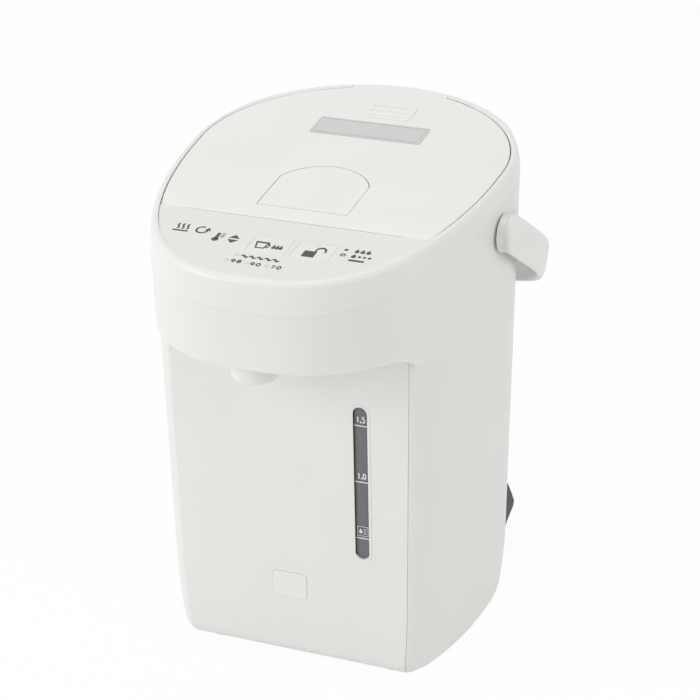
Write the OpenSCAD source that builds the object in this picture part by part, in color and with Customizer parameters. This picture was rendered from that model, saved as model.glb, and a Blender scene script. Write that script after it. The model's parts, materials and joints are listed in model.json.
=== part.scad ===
// Electric thermo pot: oval plastic body, steel vessel, bottom pump, hinged lid, bail handle.
// Millimetres. +Z up, the spout and controls face -Y, origin under the middle at table height.

/* [Body] */
// Width across the body shell
body_w = 180; // [170:1:186]
// Length of the outline in front of its widest point
front_len = 139; // [132:1:146]
// Length of the outline behind its widest point
rear_len = 83; // [80:1:90]
// Height of the top plane over the middle of the body
rim_z = 259.9; // [250:0.1:275]
// Rise of the top plane per millimetre towards the rear
top_slope = 0.125; // [0.1:0.005:0.15]
// How far the spout housing stands out over the front panel
nose_depth = 48.3; // [44:0.1:52]
// Height of the underside of the spout housing
nose_z = 197.4; // [190:0.1:202]
// Shell wall thickness
wall = 2.5; // [2:0.1:3]
// Radius of the rounded bottom edge
bottom_r = 8; // [6:0.5:9]

/* [Vessel] */
// Inner radius of the steel vessel
vessel_r = 69.4; // [66:0.1:70.5]
// Height of the vessel floor
vessel_floor_z = 51; // [50:0.5:54]
// Height of the vessel flange, where the well plate clamps it
vessel_top_z = 226; // [220:0.5:228]

/* [Lid] */
// Depth of the lid hinge axis below the top plane
hinge_drop = 4.8; // [4.7:0.1:5.4]
// Half length of the lid knuckle between the hinge ears
knuckle_half = 15; // [12:0.5:16]
// Width of the release lever
lever_w = 48.5; // [44:0.5:52]
// Length of the release lever, from its straight edge to the end of its arc
lever_len = 47; // [44:0.5:48]

/* [Handle] */
// Half width over the bail handle
bail_half_w = 98; // [97:0.5:102]
// Depth of the handle strap
strap_w = 18.6; // [16:0.1:20]
// Thickness of the handle strap
strap_t = 4.8; // [4.2:0.1:5]
// Angle of the stored handle below level
bail_angle = 31; // [29:1:34]

/* [Window] */
// Centre of the level window to the right of the middle
window_x = 39.7; // [37:0.1:42]
// Height of the level window
window_h = 91; // [85:1:96]
// Width of the level window
window_w = 7.4; // [6.5:0.1:8]

/* [Hidden] */
$fn = 48;

// Clearances: between moving pieces, between seated pieces, and in a running bore
gap = 0.5;
seat = 0.3;
running = 0.06;
far = 400;

// Plan outline: powers of the front and rear curves and the narrowing towards the nose
front_power = 2.64;
rear_power = 2;
nose_taper = 0.104;
nose_steps = 12;
corner_steps = 6;
side_steps = 26;
rear_reach = 12;
total_len = front_len + rear_len + rear_reach;
plan_y = front_len - total_len / 2;
front_y = nose_depth - total_len / 2;

// Draft: the walls lean in towards the bottom, about this point of the plan
draft = 0.053;
draft_y = -21;
draft_z = 250;

// The seam between shell and top ring runs on its own, steeper plane
seam_z = 249.5;
seam_slope = 0.18;
bottom_z = 2.5;
corner_r = 6;
rim_w = 5;

function rim(y) = rim_z + top_slope * y;
function seam(y) = seam_z + seam_slope * y;
top_tilt = atan(top_slope);

function scale_at(z) = 1 - draft * (1 - z / draft_z);
function drafted(p, z) = [p[0] * scale_at(z), draft_y + (p[1] - draft_y) * scale_at(z), z];

// Right half of the plan outline, t from -90 (front) to 90 (rear)
function spread(v) = sqrt(v * v + 0.02) - sqrt(0.02);
function half_pt(t) =
    let (front = t < 0, e = 2 / (front ? front_power : rear_power), v = pow(abs(sin(t)), e))
    [body_w / 2 * pow(abs(cos(t)), e) * (1 - (front ? nose_taper * spread(v) : 0)),
     plan_y + (front ? -front_len : rear_len) * v];
function inward(t) =
    let (a = half_pt(t - 1), b = half_pt(t + 1), u = (b - a) / norm(b - a)) [-u[1], u[0]];
function half_in(t, d) =
    t <= -90 ? half_pt(-90) + [0, d] : t >= 90 ? half_pt(90) - [0, d] : half_pt(t) + d * inward(t);

// Mirrors a right half, listed front to rear, into a closed outline
function closed(h) = concat(h,
    [for (i = [len(h) - 1:-1:0]) if (h[i][0] > 0.01) [-h[i][0], h[i][1]]]);

// Lower outline: the front is cut flat and turns into the sides with a round corner
function t_where(y, d, lo, hi, n) =
    n == 0 ? (lo + hi) / 2 :
    let (m = (lo + hi) / 2)
    half_in(m, d)[1] < y ? t_where(y, d, m, hi, n - 1) : t_where(y, d, lo, m, n - 1);
function corner_radius(d) = max(corner_r - d, 0.6);
function corner_t(d) =
    let (r = corner_radius(d)) t_where(front_y + d + r, d + r, -80, -2, 24);
function corner_centre(d) =
    let (r = corner_radius(d)) [half_in(corner_t(d), d + r)[0], front_y + d + r];

// Half width of the outline, moved in by d, at a place along the body
function half_w(y, d) = half_in(t_where(y, d, -80, 90, 24), d)[0];

// Parameters of the outline's points: nose, corner, side and rear
function run_of(a, b, n) = [for (i = [1:n]) a + (b - a) * i / n];
function stations(d) =
    let (tc = corner_t(d), ta = tc - 8)
    concat([-90], run_of(-90, ta, nose_steps), run_of(ta, tc, corner_steps), run_of(tc, 90, side_steps));
function full_plan(d) = closed([for (t = stations(d)) half_in(t, d)]);
function lower_plan(d) =
    let (ts = stations(d), c = corner_centre(d), r = corner_radius(d), n = inward(corner_t(d)),
         turn = atan2(-n[1], -n[0]) + 90)
    closed([for (i = [0:len(ts) - 1])
        i < nose_steps ? [c[0] * i / nose_steps, front_y + d] :
        i < nose_steps + corner_steps ?
            let (a = -90 + turn * (i - nose_steps) / corner_steps) c + r * [cos(a), sin(a)] :
        half_in(ts[i], d)]);

// Rings of points: level, along the top plane, or along the seam
function level(pts, z) = [for (p = pts) drafted(p, z)];
function along_rim(pts, dz) = [for (p = pts) drafted(p, rim(p[1]) + dz)];
function along_seam(pts, dz) = [for (p = pts) drafted(p, seam(p[1]) + dz)];

// The edge of the nose's underside drops at its two ends, where it turns into the lower corners
function droop(x) = recess_r - sqrt(max(0, pow(recess_r, 2) -
    pow(min(recess_r, max(0, abs(x) - droop_from)), 2)));
function under_nose(pts, z) = [for (p = pts) drafted(p, z - droop(p[0]))];

function area(a, b, c) = norm(cross(b - a, c - a));
function side_faces(pts, a, b, n) = [
    for (i = [0:n - 1]) let (j = (i + 1) % n)
        each [for (f = [[a * n + i, b * n + i, b * n + j], [a * n + i, b * n + j, a * n + j]])
            if (area(pts[f[0]], pts[f[1]], pts[f[2]]) > 0.0001) f]];
// A level end is one face, listed from its rear point; one along a slope is a row of strips
function cap_faces(pts, k, n) =
    let (o = k * n)
    abs(pts[o][2] - pts[o + n / 2][2]) < 0.001 ? [[for (i = [0:n - 1]) o + (i + n / 2) % n]] :
    [for (i = [0:n / 2 - 1])
        i == 0 ? [o, o + 1, o + n - 1] :
        i == n / 2 - 1 ? [o + i, o + i + 1, o + i + 2] :
        [o + i, o + i + 1, o + n - i - 1, o + n - i]];
function flipped(faces) = [for (f = faces) [for (i = [len(f) - 1:-1:0]) f[i]]];

// Solid through a stack of rings
module loft(rings) {
    n = len(rings[0]);
    m = len(rings);
    pts = [for (r = rings) each r];
    polyhedron(pts, concat(cap_faces(pts, 0, n),
        [for (k = [0:m - 2]) each side_faces(pts, k, k + 1, n)],
        flipped(cap_faces(pts, m - 1, n))));
}

// Closed band whose rings go around its section, outside upwards first
module band(rings) {
    n = len(rings[0]);
    m = len(rings);
    pts = [for (r = rings) each r];
    polyhedron(pts, [for (k = [0:m - 1]) each side_faces(pts, k, (k + 1) % m, n)]);
}

// Keeps what lies behind or in front of a plane across the body
module behind(y) {
    intersection() {
        children();
        translate([-far / 2, y, -far / 2]) cube([far, far, 2 * far]);
    }
}
module before(y) {
    intersection() {
        children();
        translate([-far / 2, y - far, -far / 2]) cube([far, far, 2 * far]);
    }
}

// Rounded rectangle in plan, centred
module rounded(w, l, r) {
    union() {
        square([w - 2 * r, l], center = true);
        square([w, l - 2 * r], center = true);
        for (x = [-1, 1], y = [-1, 1])
            translate([x * (w / 2 - r), y * (l / 2 - r)]) circle(r);
    }
}

// Puts its children on the top plane at a place, with their own Z square to that plane
module on_top(x, y, dz = 0) {
    translate([x, y, rim(y)]) rotate([top_tilt, 0, 0]) translate([0, 0, dz]) children();
}

module tube_z(r, bore, h) {
    difference() {
        cylinder(r = r, h = h);
        translate([0, 0, -1]) cylinder(r = bore, h = h + 2);
    }
}

// ---------- Shell ----------
inlet_x = 40.5;
inlet_w = 53;
inlet_h = 46;
inlet_tip_y = plan_y + rear_len + 6;
inlet_back_y = inlet_tip_y - 39;
panel_half_w = 66.8;
recess_r = 10;
droop_from = panel_half_w - 4.8;

// Outer form, or with d the hollow inside it, which runs out through the bottom
module body_form(d, above) {
    loft(concat(
        d > 0 ? [level(lower_plan(d + bottom_r), -1)] : [],
        [for (a = [0:30:90])
            level(lower_plan(d + bottom_r * (1 - sin(a))), bottom_z + d + bottom_r * (1 - cos(a)))],
        [under_nose(lower_plan(d), nose_z + d),
         under_nose(full_plan(d), nose_z + d),
         along_seam(full_plan(d), above)]));
}

// Flat plate cut to a plan outline at a height
module plan_plate(pts, z, h) {
    translate([0, 0, z]) linear_extrude(h) polygon([for (p = level(pts, z)) [p[0], p[1]]]);
}

// Upright outline of the front panel, rounded at its two upper corners
module panel_outline(grow) {
    foot_w = panel_half_w * scale_at(0) + grow;
    head_w = panel_half_w * scale_at(nose_z) + grow;
    rise = recess_r - seat + grow;
    arc = [for (a = [0:10:90])
        [head_w - recess_r * (1 - cos(a)), nose_z - recess_r + rise * sin(a)]];
    polygon(concat([[-foot_w, -1], [foot_w, -1]], arc,
        [for (i = [len(arc) - 1:-1:0]) [-arc[i][0], arc[i][1]]]));
}
module panel_opening(grow) {
    translate([0, front_y + corner_r + 6, 0]) rotate([90, 0, 0])
        linear_extrude(corner_r + 30) panel_outline(grow);
}

nozzle_x = -4;
nozzle_y = plan_y - front_len + 20;
nozzle_r = 12.5;
pivot_y = plan_y - 16;
pivot_z = rim(pivot_y) - 25.65;
pin_r = 4;

module pin_bore(r) {
    translate([0, pivot_y, pivot_z]) rotate([0, 90, 0]) cylinder(r = r, h = far, center = true);
}

module shell_wall() {
    difference() {
        body_form(0, -seat);
        body_form(wall, 30);
    }
}

module inlet_notch(grow) {
    translate([inlet_x - inlet_w / 2 - grow, inlet_back_y - grow, -1])
        cube([inlet_w + 2 * grow, far, inlet_h + 1 + grow]);
}

module outer_shell() {
    color([0.9, 0.89, 0.87]) difference() {
        shell_wall();
        panel_opening(0.25);
        inlet_notch(seat);
        hinge_notch(seat);
        translate([nozzle_x, nozzle_y, nose_z - 20]) cylinder(r = nozzle_r + seat, h = 40);
        pin_bore(pin_r + 0.03);
    }
}

// ---------- Front panel ----------
window_z = 117;
badge_z = 48;
badge_w = 19.4;
badge_h = 15.4;

front_lean = atan(draft * (draft_y - front_y) / draft_z);

// Upright plate outline on the drafted front, w wide with round ends
module front_slot(x, z, w, h, depth, from = 0) {
    translate([x, draft_y + (front_y - draft_y) * scale_at(z) + from, z])
        rotate([90 + front_lean, 0, 0])
            translate([0, 0, -depth]) linear_extrude(depth) union() {
                square([w, h - w], center = true);
                for (s = [-1, 1]) translate([0, s * (h - w) / 2]) circle(w / 2);
            }
}
module front_plate(x, z, w, h, r, depth, from = 0) {
    translate([x, draft_y + (front_y - draft_y) * scale_at(z) + from, z])
        rotate([90 + front_lean, 0, 0])
            translate([0, 0, -depth]) linear_extrude(depth) rounded(w, h, r);
}

panel_recess = 0.4;
badge_x = -2.4;
// Front face of the panel seen from the side, with its rounded foot
function front_line(d) = [for (a = [90:-15:0])
    let (z = bottom_z + d * 0.5 + (bottom_r - d * 0.5) * (1 - cos(a)))
    [draft_y + (front_y + d + (bottom_r - d * 0.5) * (1 - sin(a)) - draft_y) * scale_at(z), z]];
function front_top(d) = [draft_y + (front_y + d - draft_y) * scale_at(nose_z), nose_z];

module front_panel() {
    outer = concat([front_top(panel_recess)], front_line(panel_recess));
    inner = concat([front_top(wall)], front_line(wall));
    color([0.91, 0.9, 0.885]) difference() {
        union() {
            intersection() {
                translate([-body_w / 2, 0, 0]) rotate([90, 0, 90]) linear_extrude(body_w)
                    polygon(concat(outer, [for (i = [len(inner) - 1:-1:0]) inner[i]]));
                panel_opening(0);
            }
            front_slot(window_x, window_z, window_w + 3, window_h + 3, 1.2, panel_recess - 0.3);
        }
        front_slot(window_x, window_z, window_w + 0.4, window_h + 0.4, 20, -10);
        front_plate(badge_x, badge_z, badge_w + 0.3, badge_h + 0.3, 2.5, 1, panel_recess - 0.2);
    }
}

module gauge_window() {
    color([0.42, 0.42, 0.44, 0.8]) union() {
        front_slot(window_x, window_z, window_w, window_h, 3, panel_recess);
        front_slot(window_x, window_z, window_w + 5, window_h + 5, 1.2, wall + seat);
    }
}

module badge() {
    color([0.88, 0.88, 0.87])
        front_plate(badge_x, badge_z, badge_w, badge_h, 2.3, 0.8, panel_recess - 0.25);
}

// ---------- Top ring and lid well ----------
hinge_half = 28;
hinge_y = plan_y + rear_len - 4.6;
hinge_z = rim(hinge_y) - hinge_drop;
knuckle_r = 2.7;
hinge_pin_r = 1.3;
ear_t = 4.4;
hinge_floor = 4.7;
hinge_floor_t = 3;
hinge_front = 6.5;
well_front_y = -56.4;
well_wall = 2.1;
deck_t = 3;
mouth_r = vessel_r - 2.4;

module hinge_notch(grow) {
    translate([-hinge_half - grow, hinge_y - hinge_front - grow,
               hinge_z - hinge_floor - hinge_floor_t - grow])
        cube([2 * (hinge_half + grow), 40, 40]);
}

module top_ring() {
    color([0.93, 0.925, 0.91]) difference() {
        band([
            along_seam(full_plan(0), 0),
            along_rim(full_plan(0), -2.9),
            along_rim(full_plan(0.35), -1.6),
            along_rim(full_plan(1.2), -0.5),
            along_rim(full_plan(2.6), 0),
            along_rim(full_plan(rim_w - 0.5), 0),
            along_rim(full_plan(rim_w), -0.4),
            along_rim(full_plan(rim_w), -3),
            along_rim(full_plan(wall), -3.2),
            along_seam(full_plan(wall), 0)]);
        hinge_notch(seat);
    }
}

module well_outline_form(d, from, dz) {
    loft([level(full_plan(d), from), along_rim(full_plan(d), dz)]);
}

module lid_well() {
    inner = wall + seat + well_wall;
    color([0.9, 0.9, 0.89]) difference() {
        behind(well_front_y - well_wall) well_outline_form(wall + seat, vessel_top_z, -3.3);
        behind(well_front_y) well_outline_form(inner, vessel_top_z + deck_t, 4);
        translate([0, plan_y, 0]) cylinder(r = mouth_r, h = far, $fn = 96);
        hinge_notch(seat);
        // room under the control frame in front
        translate([-far / 2, -far, rim(well_front_y) - 5.2]) cube([far, far + well_front_y, far]);
        // keeper slot of the latch
        translate([lever_x - 10, well_front_y - 5, latch_z - 2]) cube([20, 10, 4]);
        // bores for the handle pins
        pin_bore(pin_r + 0.1);
    }
}

// ---------- Controls ----------
key_y = well_front_y - 25;
key_l = 17.2;
dispense_x = -1.2;
dispense_w = 20.4;
unlock_x = 22.2;
unlock_w = 19.6;
key_travel = 0.8;
board_drop = 14;
led_spots = [[-13.1, key_y - 12.2], [-15.9, key_y - 18.1], [-5.1, key_y - 18.8],
             [5.5, key_y - 18.8], [37, key_y + 6]];
board_t = 1.6;
board_w = 96;
board_l = 38;
switch_w = 6;
led_r = 1.1;

module key_holes(grow) {
    on_top(dispense_x, key_y, -20) linear_extrude(40) rounded(dispense_w + grow, key_l + grow, 2.2);
    on_top(unlock_x, key_y, -20) linear_extrude(40) rounded(unlock_w + grow, key_l + grow, 2.2);
    for (p = led_spots) on_top(p[0], p[1], -20) cylinder(r = led_r + 0.1, h = 40);
}

module control_panel() {
    color([0.895, 0.9, 0.88]) difference() {
        before(well_front_y + 0.1) loft([
            along_rim(full_plan(rim_w + seat), -2.9),
            along_rim(full_plan(rim_w + seat), -0.5)]);
        key_holes(2 * seat);
    }
}

module control_frame() {
    color([0.8, 0.8, 0.79]) difference() {
        before(well_front_y - seat) loft([
            along_rim(full_plan(wall + seat), -4.9),
            along_rim(full_plan(wall + seat), -3.2)]);
        key_holes(2 * seat);
    }
}

module key(x, w) {
    on_top(x, key_y, 0) union() {
        translate([0, 0, -6.5]) linear_extrude(6.1) rounded(w, key_l, 2);
        translate([0, 0, -board_drop + 1.3 + key_travel + 0.2]) cylinder(r = 2, h = 7);
    }
}
module dispense_key() {
    color([0.92, 0.925, 0.905]) key(dispense_x, dispense_w);
}
module unlock_key() {
    color([0.92, 0.925, 0.905]) key(unlock_x, unlock_w);
}

module control_board() {
    color([0.12, 0.42, 0.25]) union() {
        on_top(0, key_y + 0.4, -board_drop - board_t) linear_extrude(board_t)
            rounded(board_w, board_l, 3);
        // tactile switches under the keys
        for (x = [dispense_x, unlock_x])
            on_top(x, key_y, -board_drop - 0.4) translate([-switch_w / 2, -switch_w / 2, 0])
                cube([switch_w, switch_w, 1.7]);
        // posts up to the control frame
        for (x = [-1, 1], y = [-1, 1])
            on_top(x * (board_w / 2 - 4), key_y + 1.4 + y * (board_l / 2 - 5), -board_drop - 0.4)
                cylinder(r = 2.5, h = board_drop - 4.7);
    }
}

module light_guides() {
    color([0.95, 0.95, 0.9, 0.7]) for (p = led_spots)
        on_top(p[0], p[1], -board_drop) cylinder(r = led_r, h = board_drop - 0.45);
}

// ---------- Water path ----------
tube_x = window_x;
tube_y = front_y + 11.7;
tube_r = 5;
tube_bore = 3.8;
tube_bottom_z = vessel_floor_z - 1;
valve_r = 8;
valve_top_z = vessel_top_z - 19;
tube_top_z = valve_top_z - 19;
ball_r = 4.4;
pipe_z = vessel_top_z - 9;
hose_bore = 3.8;
hose_r = 6.6;

// Pump, from the motor flange upwards
pump_x = -24;
pump_y = plan_y - 56;
pump_r = 17;
chamber_r = 14;
disc_r = chamber_r - 1.4;
spindle_r = 1.2;
pump_floor_z = 17;
wheel_floor_z = pump_floor_z + 11.4;
pump_top_z = pump_floor_z + 19;
hose_z = wheel_floor_z + 3;
spigot_r = 4.5;
hose_y = pump_y - 10;
magnet_t = 5.8;
wheel_t = 3;
blade_t = 1.4;
blade_h = 2.8;
shaft_r = 1.56;

// Round pipe with round elbows through a list of places
module pipe(pts, r) {
    for (i = [0:len(pts) - 2]) {
        v = pts[i + 1] - pts[i];
        translate(pts[i]) rotate([0, acos(v[2] / norm(v)), atan2(v[1], v[0])])
            cylinder(r = r, h = norm(v));
    }
    for (i = [1:1:len(pts) - 2]) translate(pts[i]) sphere(r * 1.08);
}

module nozzle() {
    color([0.95, 0.95, 0.94]) translate([nozzle_x, nozzle_y, 0]) difference() {
        union() {
            // outer skirt with a rounded lower edge
            translate([0, 0, nose_z - 13]) rotate_extrude($fn = 64) union() {
                square([nozzle_r - 4, 18]);
                translate([0, 4]) square([nozzle_r, 14]);
                translate([nozzle_r - 4, 4]) circle(4);
            }
            translate([0, 0, nose_z + wall + seat]) cylinder(r = nozzle_r + 3, h = 2.2);
        }
        translate([0, 0, nose_z - 20]) cylinder(r = 6, h = 16);
        translate([0, 0, nose_z - 20]) cylinder(r = 3.8, h = 60);
        translate([0, 0, nose_z - 1]) cylinder(r = 5.1, h = 20);
    }
}

module outlet_pipe() {
    route = [
        [tube_x, tube_y, valve_top_z - 4], [tube_x, tube_y, pipe_z],
        [nozzle_x, nozzle_y, pipe_z], [nozzle_x, nozzle_y, nose_z]];
    color([0.85, 0.85, 0.83, 0.8]) difference() {
        pipe(route, tube_r);
        pipe([route[0] - [0, 0, 1], route[1], route[2], route[3] - [0, 0, 1]], 3.6);
    }
}

module valve_body() {
    color([0.93, 0.93, 0.92]) translate([tube_x, tube_y, 0]) difference() {
        translate([0, 0, tube_top_z - 8]) cylinder(r = valve_r, h = valve_top_z - tube_top_z + 8);
        translate([0, 0, tube_top_z - 9]) cylinder(r = tube_r + 0.05, h = 9);
        translate([0, 0, tube_top_z - 1]) cylinder(r = 3.2, h = 10);
        translate([0, 0, tube_top_z + 2]) cylinder(r = ball_r + 0.6, h = 12.2);
        translate([0, 0, valve_top_z - 5.2]) cylinder(r = tube_r + 0.05, h = 9);
    }
}

module valve_ball() {
    color([0.7, 0.7, 0.72])
        translate([tube_x, tube_y, tube_top_z + 2 + ball_r + 0.1]) sphere(ball_r);
}

module level_tube() {
    color([0.85, 0.92, 0.95, 0.5]) translate([tube_x, tube_y, tube_bottom_z])
        tube_z(tube_r, tube_bore, tube_top_z - tube_bottom_z);
}

module discharge_hose() {
    route = [
        [pump_x + pump_r + seat, hose_y, hose_z], [tube_x, hose_y, hose_z],
        [tube_x, tube_y, hose_z], [tube_x, tube_y, tube_bottom_z + 8]];
    color([0.9, 0.9, 0.88, 0.85]) difference() {
        pipe(route, hose_r);
        pipe([route[0] - [1, 0, 0], route[1], route[2], route[3] + [0, 0, 1]], hose_bore);
        // sockets for the pump spigot and the tube
        translate(route[0] - [1, 0, 0]) rotate([0, 90, 0]) cylinder(r = spigot_r + 0.05, h = 10);
        translate([tube_x, tube_y, tube_bottom_z]) cylinder(r = tube_r + 0.05, h = 12);
    }
}

module suction_hose() {
    from = pump_top_z + cover_t + 1.1;
    color([0.9, 0.9, 0.88, 0.85]) translate([pump_x, pump_y, from]) difference() {
        cylinder(r = 7, h = vessel_floor_z - vessel_t - 1 - from);
        translate([0, 0, -1]) cylinder(r = neck_r + 0.05, h = 20);
    }
}

cover_t = 2.4;
neck_r = 5;
module pump_cover() {
    color([0.88, 0.88, 0.86]) translate([pump_x, pump_y, pump_top_z]) difference() {
        union() {
            cylinder(r = pump_r, h = cover_t);
            cylinder(r = neck_r, h = cover_t + 4.8);
        }
        translate([0, 0, -1]) cylinder(r = neck_r - 1.5, h = 20);
    }
}

module pump_housing() {
    color([0.84, 0.84, 0.82]) difference() {
        union() {
            translate([pump_x, pump_y, pump_floor_z])
                cylinder(r = pump_r, h = pump_top_z - pump_floor_z);
            translate([pump_x, hose_y, hose_z]) rotate([0, 90, 0])
                cylinder(r = spigot_r, h = pump_r + 8);
        }
        translate([pump_x, pump_y, pump_floor_z - 1]) cylinder(r = chamber_r, h = 10);
        difference() {
            translate([pump_x, pump_y, wheel_floor_z]) cylinder(r = chamber_r, h = 8);
            // fixed spindle of the impeller
            translate([pump_x, pump_y, wheel_floor_z - 0.4]) union() {
                cylinder(r = spindle_r, h = 7.4);
                cylinder(r = 2 * spindle_r, h = 0.6);
            }
        }
        translate([pump_x + 6, hose_y, hose_z]) rotate([0, 90, 0])
            cylinder(r = spigot_r - 1.7, h = 40);
    }
}

module impeller() {
    from = wheel_floor_z + gap;
    color([0.75, 0.77, 0.8]) translate([pump_x, pump_y, 0]) difference() {
        union() {
            translate([0, 0, from]) cylinder(r = disc_r, h = wheel_t);
            translate([0, 0, from + wheel_t]) cylinder(r = 3, h = blade_h);
            for (a = [0:60:300]) rotate(a)
                translate([2, -blade_t / 2, from + wheel_t]) cube([10, blade_t, blade_h]);
        }
        translate([0, 0, from - 1]) cylinder(r = spindle_r + running, h = 20);
    }
}

module drive_magnet() {
    color([0.25, 0.25, 0.27]) translate([pump_x, pump_y, pump_floor_z + 2]) difference() {
        cylinder(r = disc_r, h = magnet_t);
        translate([0, 0, -1]) cylinder(r = shaft_r + 0.04, h = magnet_t + 2);
    }
}

module pump_motor() {
    can_from = bottom_z + base_t + seat;
    color([0.72, 0.72, 0.74]) translate([pump_x, pump_y, 0]) union() {
        translate([0, 0, can_from]) cylinder(r = 13, h = pump_floor_z - can_from);
        translate([0, 0, pump_floor_z - 3]) cylinder(r = pump_r, h = 2.7);
        translate([0, 0, pump_floor_z - 1]) cylinder(r = 4, h = 2.4);
        translate([0, 0, pump_floor_z - 1]) cylinder(r = shaft_r, h = magnet_t + 2.8);
    }
}

// ---------- Vessel and heater ----------
vessel_t = 0.8;
flange_r = vessel_r + 3.1;
corner = 4;
wrap_t = 2.3;
wrap_from = vessel_floor_z + 11;
wrap_to = vessel_top_z - 8;

module inner_vessel() {
    color([0.75, 0.76, 0.78]) difference() {
        translate([0, plan_y, 0]) rotate_extrude($fn = 96) union() {
            translate([0, vessel_floor_z - vessel_t]) square([vessel_r - corner, vessel_t]);
            difference() {
                translate([vessel_r - corner, vessel_floor_z - vessel_t])
                    square([corner + vessel_t, vessel_top_z - 1.5 - vessel_floor_z]);
                translate([vessel_r - corner - 1, vessel_floor_z + corner - 0.001])
                    square([corner + 1, far]);
                translate([vessel_r - corner, vessel_floor_z + corner]) circle(corner);
                translate([vessel_r - corner, vessel_floor_z - vessel_t]) difference() {
                    square([corner + 6, corner + vessel_t]);
                    translate([0, corner + vessel_t]) circle(corner + vessel_t);
                }
            }
            translate([vessel_r, vessel_top_z - 2.6]) square([flange_r - vessel_r, vessel_t]);
        }
        translate([pump_x, pump_y, 0]) cylinder(r = 4, h = 100);
    }
}

module vessel_seal() {
    color([0.85, 0.85, 0.85]) translate([0, plan_y, vessel_top_z - 1.8])
        tube_z(flange_r, mouth_r + 1.5, 1.8, $fn = 96);
}

module insulation_wrap() {
    color([0.8, 0.82, 0.84]) translate([0, plan_y, wrap_from])
        tube_z(vessel_r + vessel_t + seat + wrap_t, vessel_r + vessel_t + seat,
               wrap_to - wrap_from, $fn = 96);
}

heater_r = 38;
heater_t = 4;
coil_r = heater_r - 10;
sensor_r = 9;
heater_z = vessel_floor_z - vessel_t - heater_t;
module heater_plate() {
    color([0.7, 0.7, 0.7]) translate([0, plan_y, 0]) union() {
        translate([0, 0, heater_z]) tube_z(heater_r, sensor_r + 0.6, heater_t);
        translate([0, 0, heater_z - 1]) rotate_extrude($fn = 64)
            translate([coil_r, 0]) circle(4, $fn = 24);
        for (x = [-1, 1]) translate([x * 8, -coil_r, heater_z - 18]) cylinder(r = 2.6, h = 18);
    }
}

module temperature_sensor() {
    color([0.3, 0.3, 0.32]) translate([0, plan_y, 0]) union() {
        translate([0, 0, vessel_floor_z - 10]) cylinder(r = sensor_r, h = 10 - vessel_t);
        translate([0, 0, vessel_floor_z - 15]) cylinder(r = sensor_r / 2, h = 6);
    }
}

module thermal_fuse() {
    size = [12, 7, 5];
    color([0.85, 0.8, 0.65]) translate([-11.5, plan_y + 12, heater_z - seat - size[2]])
        translate([-size[0] / 2, -size[1] / 2, 0]) cube(size);
}

bracket_z = vessel_floor_z - 8;
bracket_r = vessel_r - 4.4;
bracket_w = 11;
sheet_t = 1.6;
post_r = 4.5;
post_spots = [90, 210, 330];
module vessel_bracket() {
    color([0.7, 0.7, 0.72]) translate([0, plan_y, bracket_z]) difference() {
        union() {
            tube_z(bracket_r, bracket_r - bracket_w, sheet_t, $fn = 64);
            tube_z(bracket_r, bracket_r - sheet_t, vessel_floor_z - vessel_t - bracket_z, $fn = 64);
        }
        // room for the pump and the inlet housing
        translate([pump_x, pump_y - plan_y, -2]) cylinder(r = pump_r + 3, h = 30);
        translate([inlet_x - inlet_w / 2 - 1, inlet_back_y - plan_y - 1, -2]) cube([far, far, 30]);
    }
}

// ---------- Base ----------
foot_r = 8.5;
foot_plug_r = 3;
base_t = 2.5;
foot_spots = [[-52.5, front_y + 16.2], [52.5, front_y + 16.2], [-47, plan_y + 47],
              [6, plan_y + 62]];
screw_spots = [[-45, front_y + 28.7], [24, front_y + 20.7], [-62, plan_y - 2],
               [62, plan_y - 12]];

module base_cover() {
    color([0.82, 0.81, 0.79]) difference() {
        union() {
            plan_plate(lower_plan(bottom_r + wall + seat), bottom_z, base_t);
            for (a = post_spots) translate([0, plan_y, bottom_z]) rotate(a)
                translate([bracket_r - bracket_w / 2 - 0.5, 0, 0])
                    cylinder(r = post_r, h = bracket_z - bottom_z);
            for (p = screw_spots) translate([p[0], p[1], bottom_z]) cylinder(r = 4, h = 12);
        }
        inlet_notch(seat);
        for (p = foot_spots) translate([p[0], p[1], 0]) cylinder(r = foot_plug_r + 0.1, h = bottom_z + 1.5);
        for (p = screw_spots) translate([p[0], p[1], 0]) cylinder(r = 1.55, h = 12);
        for (p = screw_spots) translate([p[0], p[1], 0]) cylinder(r = 3.3, h = bottom_z + 1);
        // air slots under the heater
        for (i = [-3:3]) translate([-20, plan_y + i * 6 - 1.2, 0]) cube([40, 2.4, 20]);
    }
}

module feet() {
    color([0.35, 0.35, 0.35]) for (p = foot_spots) translate([p[0], p[1], 0]) union() {
        cylinder(r = foot_r, h = bottom_z - seat);
        cylinder(r = foot_plug_r, h = bottom_z + 1.2);
    }
}

module base_screws() {
    color([0.75, 0.75, 0.77]) for (p = screw_spots) translate([p[0], p[1], bottom_z - 1]) union() {
        cylinder(r = 3, h = 2);
        cylinder(r = 1.5, h = 10);
    }
}

module power_board() {
    w = 56;
    l = 34;
    stand = 7;
    color([0.1, 0.4, 0.22]) translate([-48, plan_y + 16, bottom_z + base_t]) union() {
        translate([0, 0, stand]) cube([w, l, board_t]);
        // transformer, relay and capacitor
        translate([5, 6, stand + 1]) cube([22, 20, 18]);
        translate([31, 8, stand + 1]) cube([14, 16, 14]);
        translate([50, 16, stand + 1]) cylinder(r = 5, h = 18);
        for (x = [3, w - 3], y = [3, l - 3]) translate([x, y, 0]) cylinder(r = 2.4, h = stand + 0.2);
    }
}

// ---------- Power inlet ----------
inlet_face_y = inlet_tip_y - 23;
inlet_tip_z = 20.5;
contact_gap = 15;
contact_z = 20;
contact_r = 2.45;
magnet_plate = [7, 1.2, 14];

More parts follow.
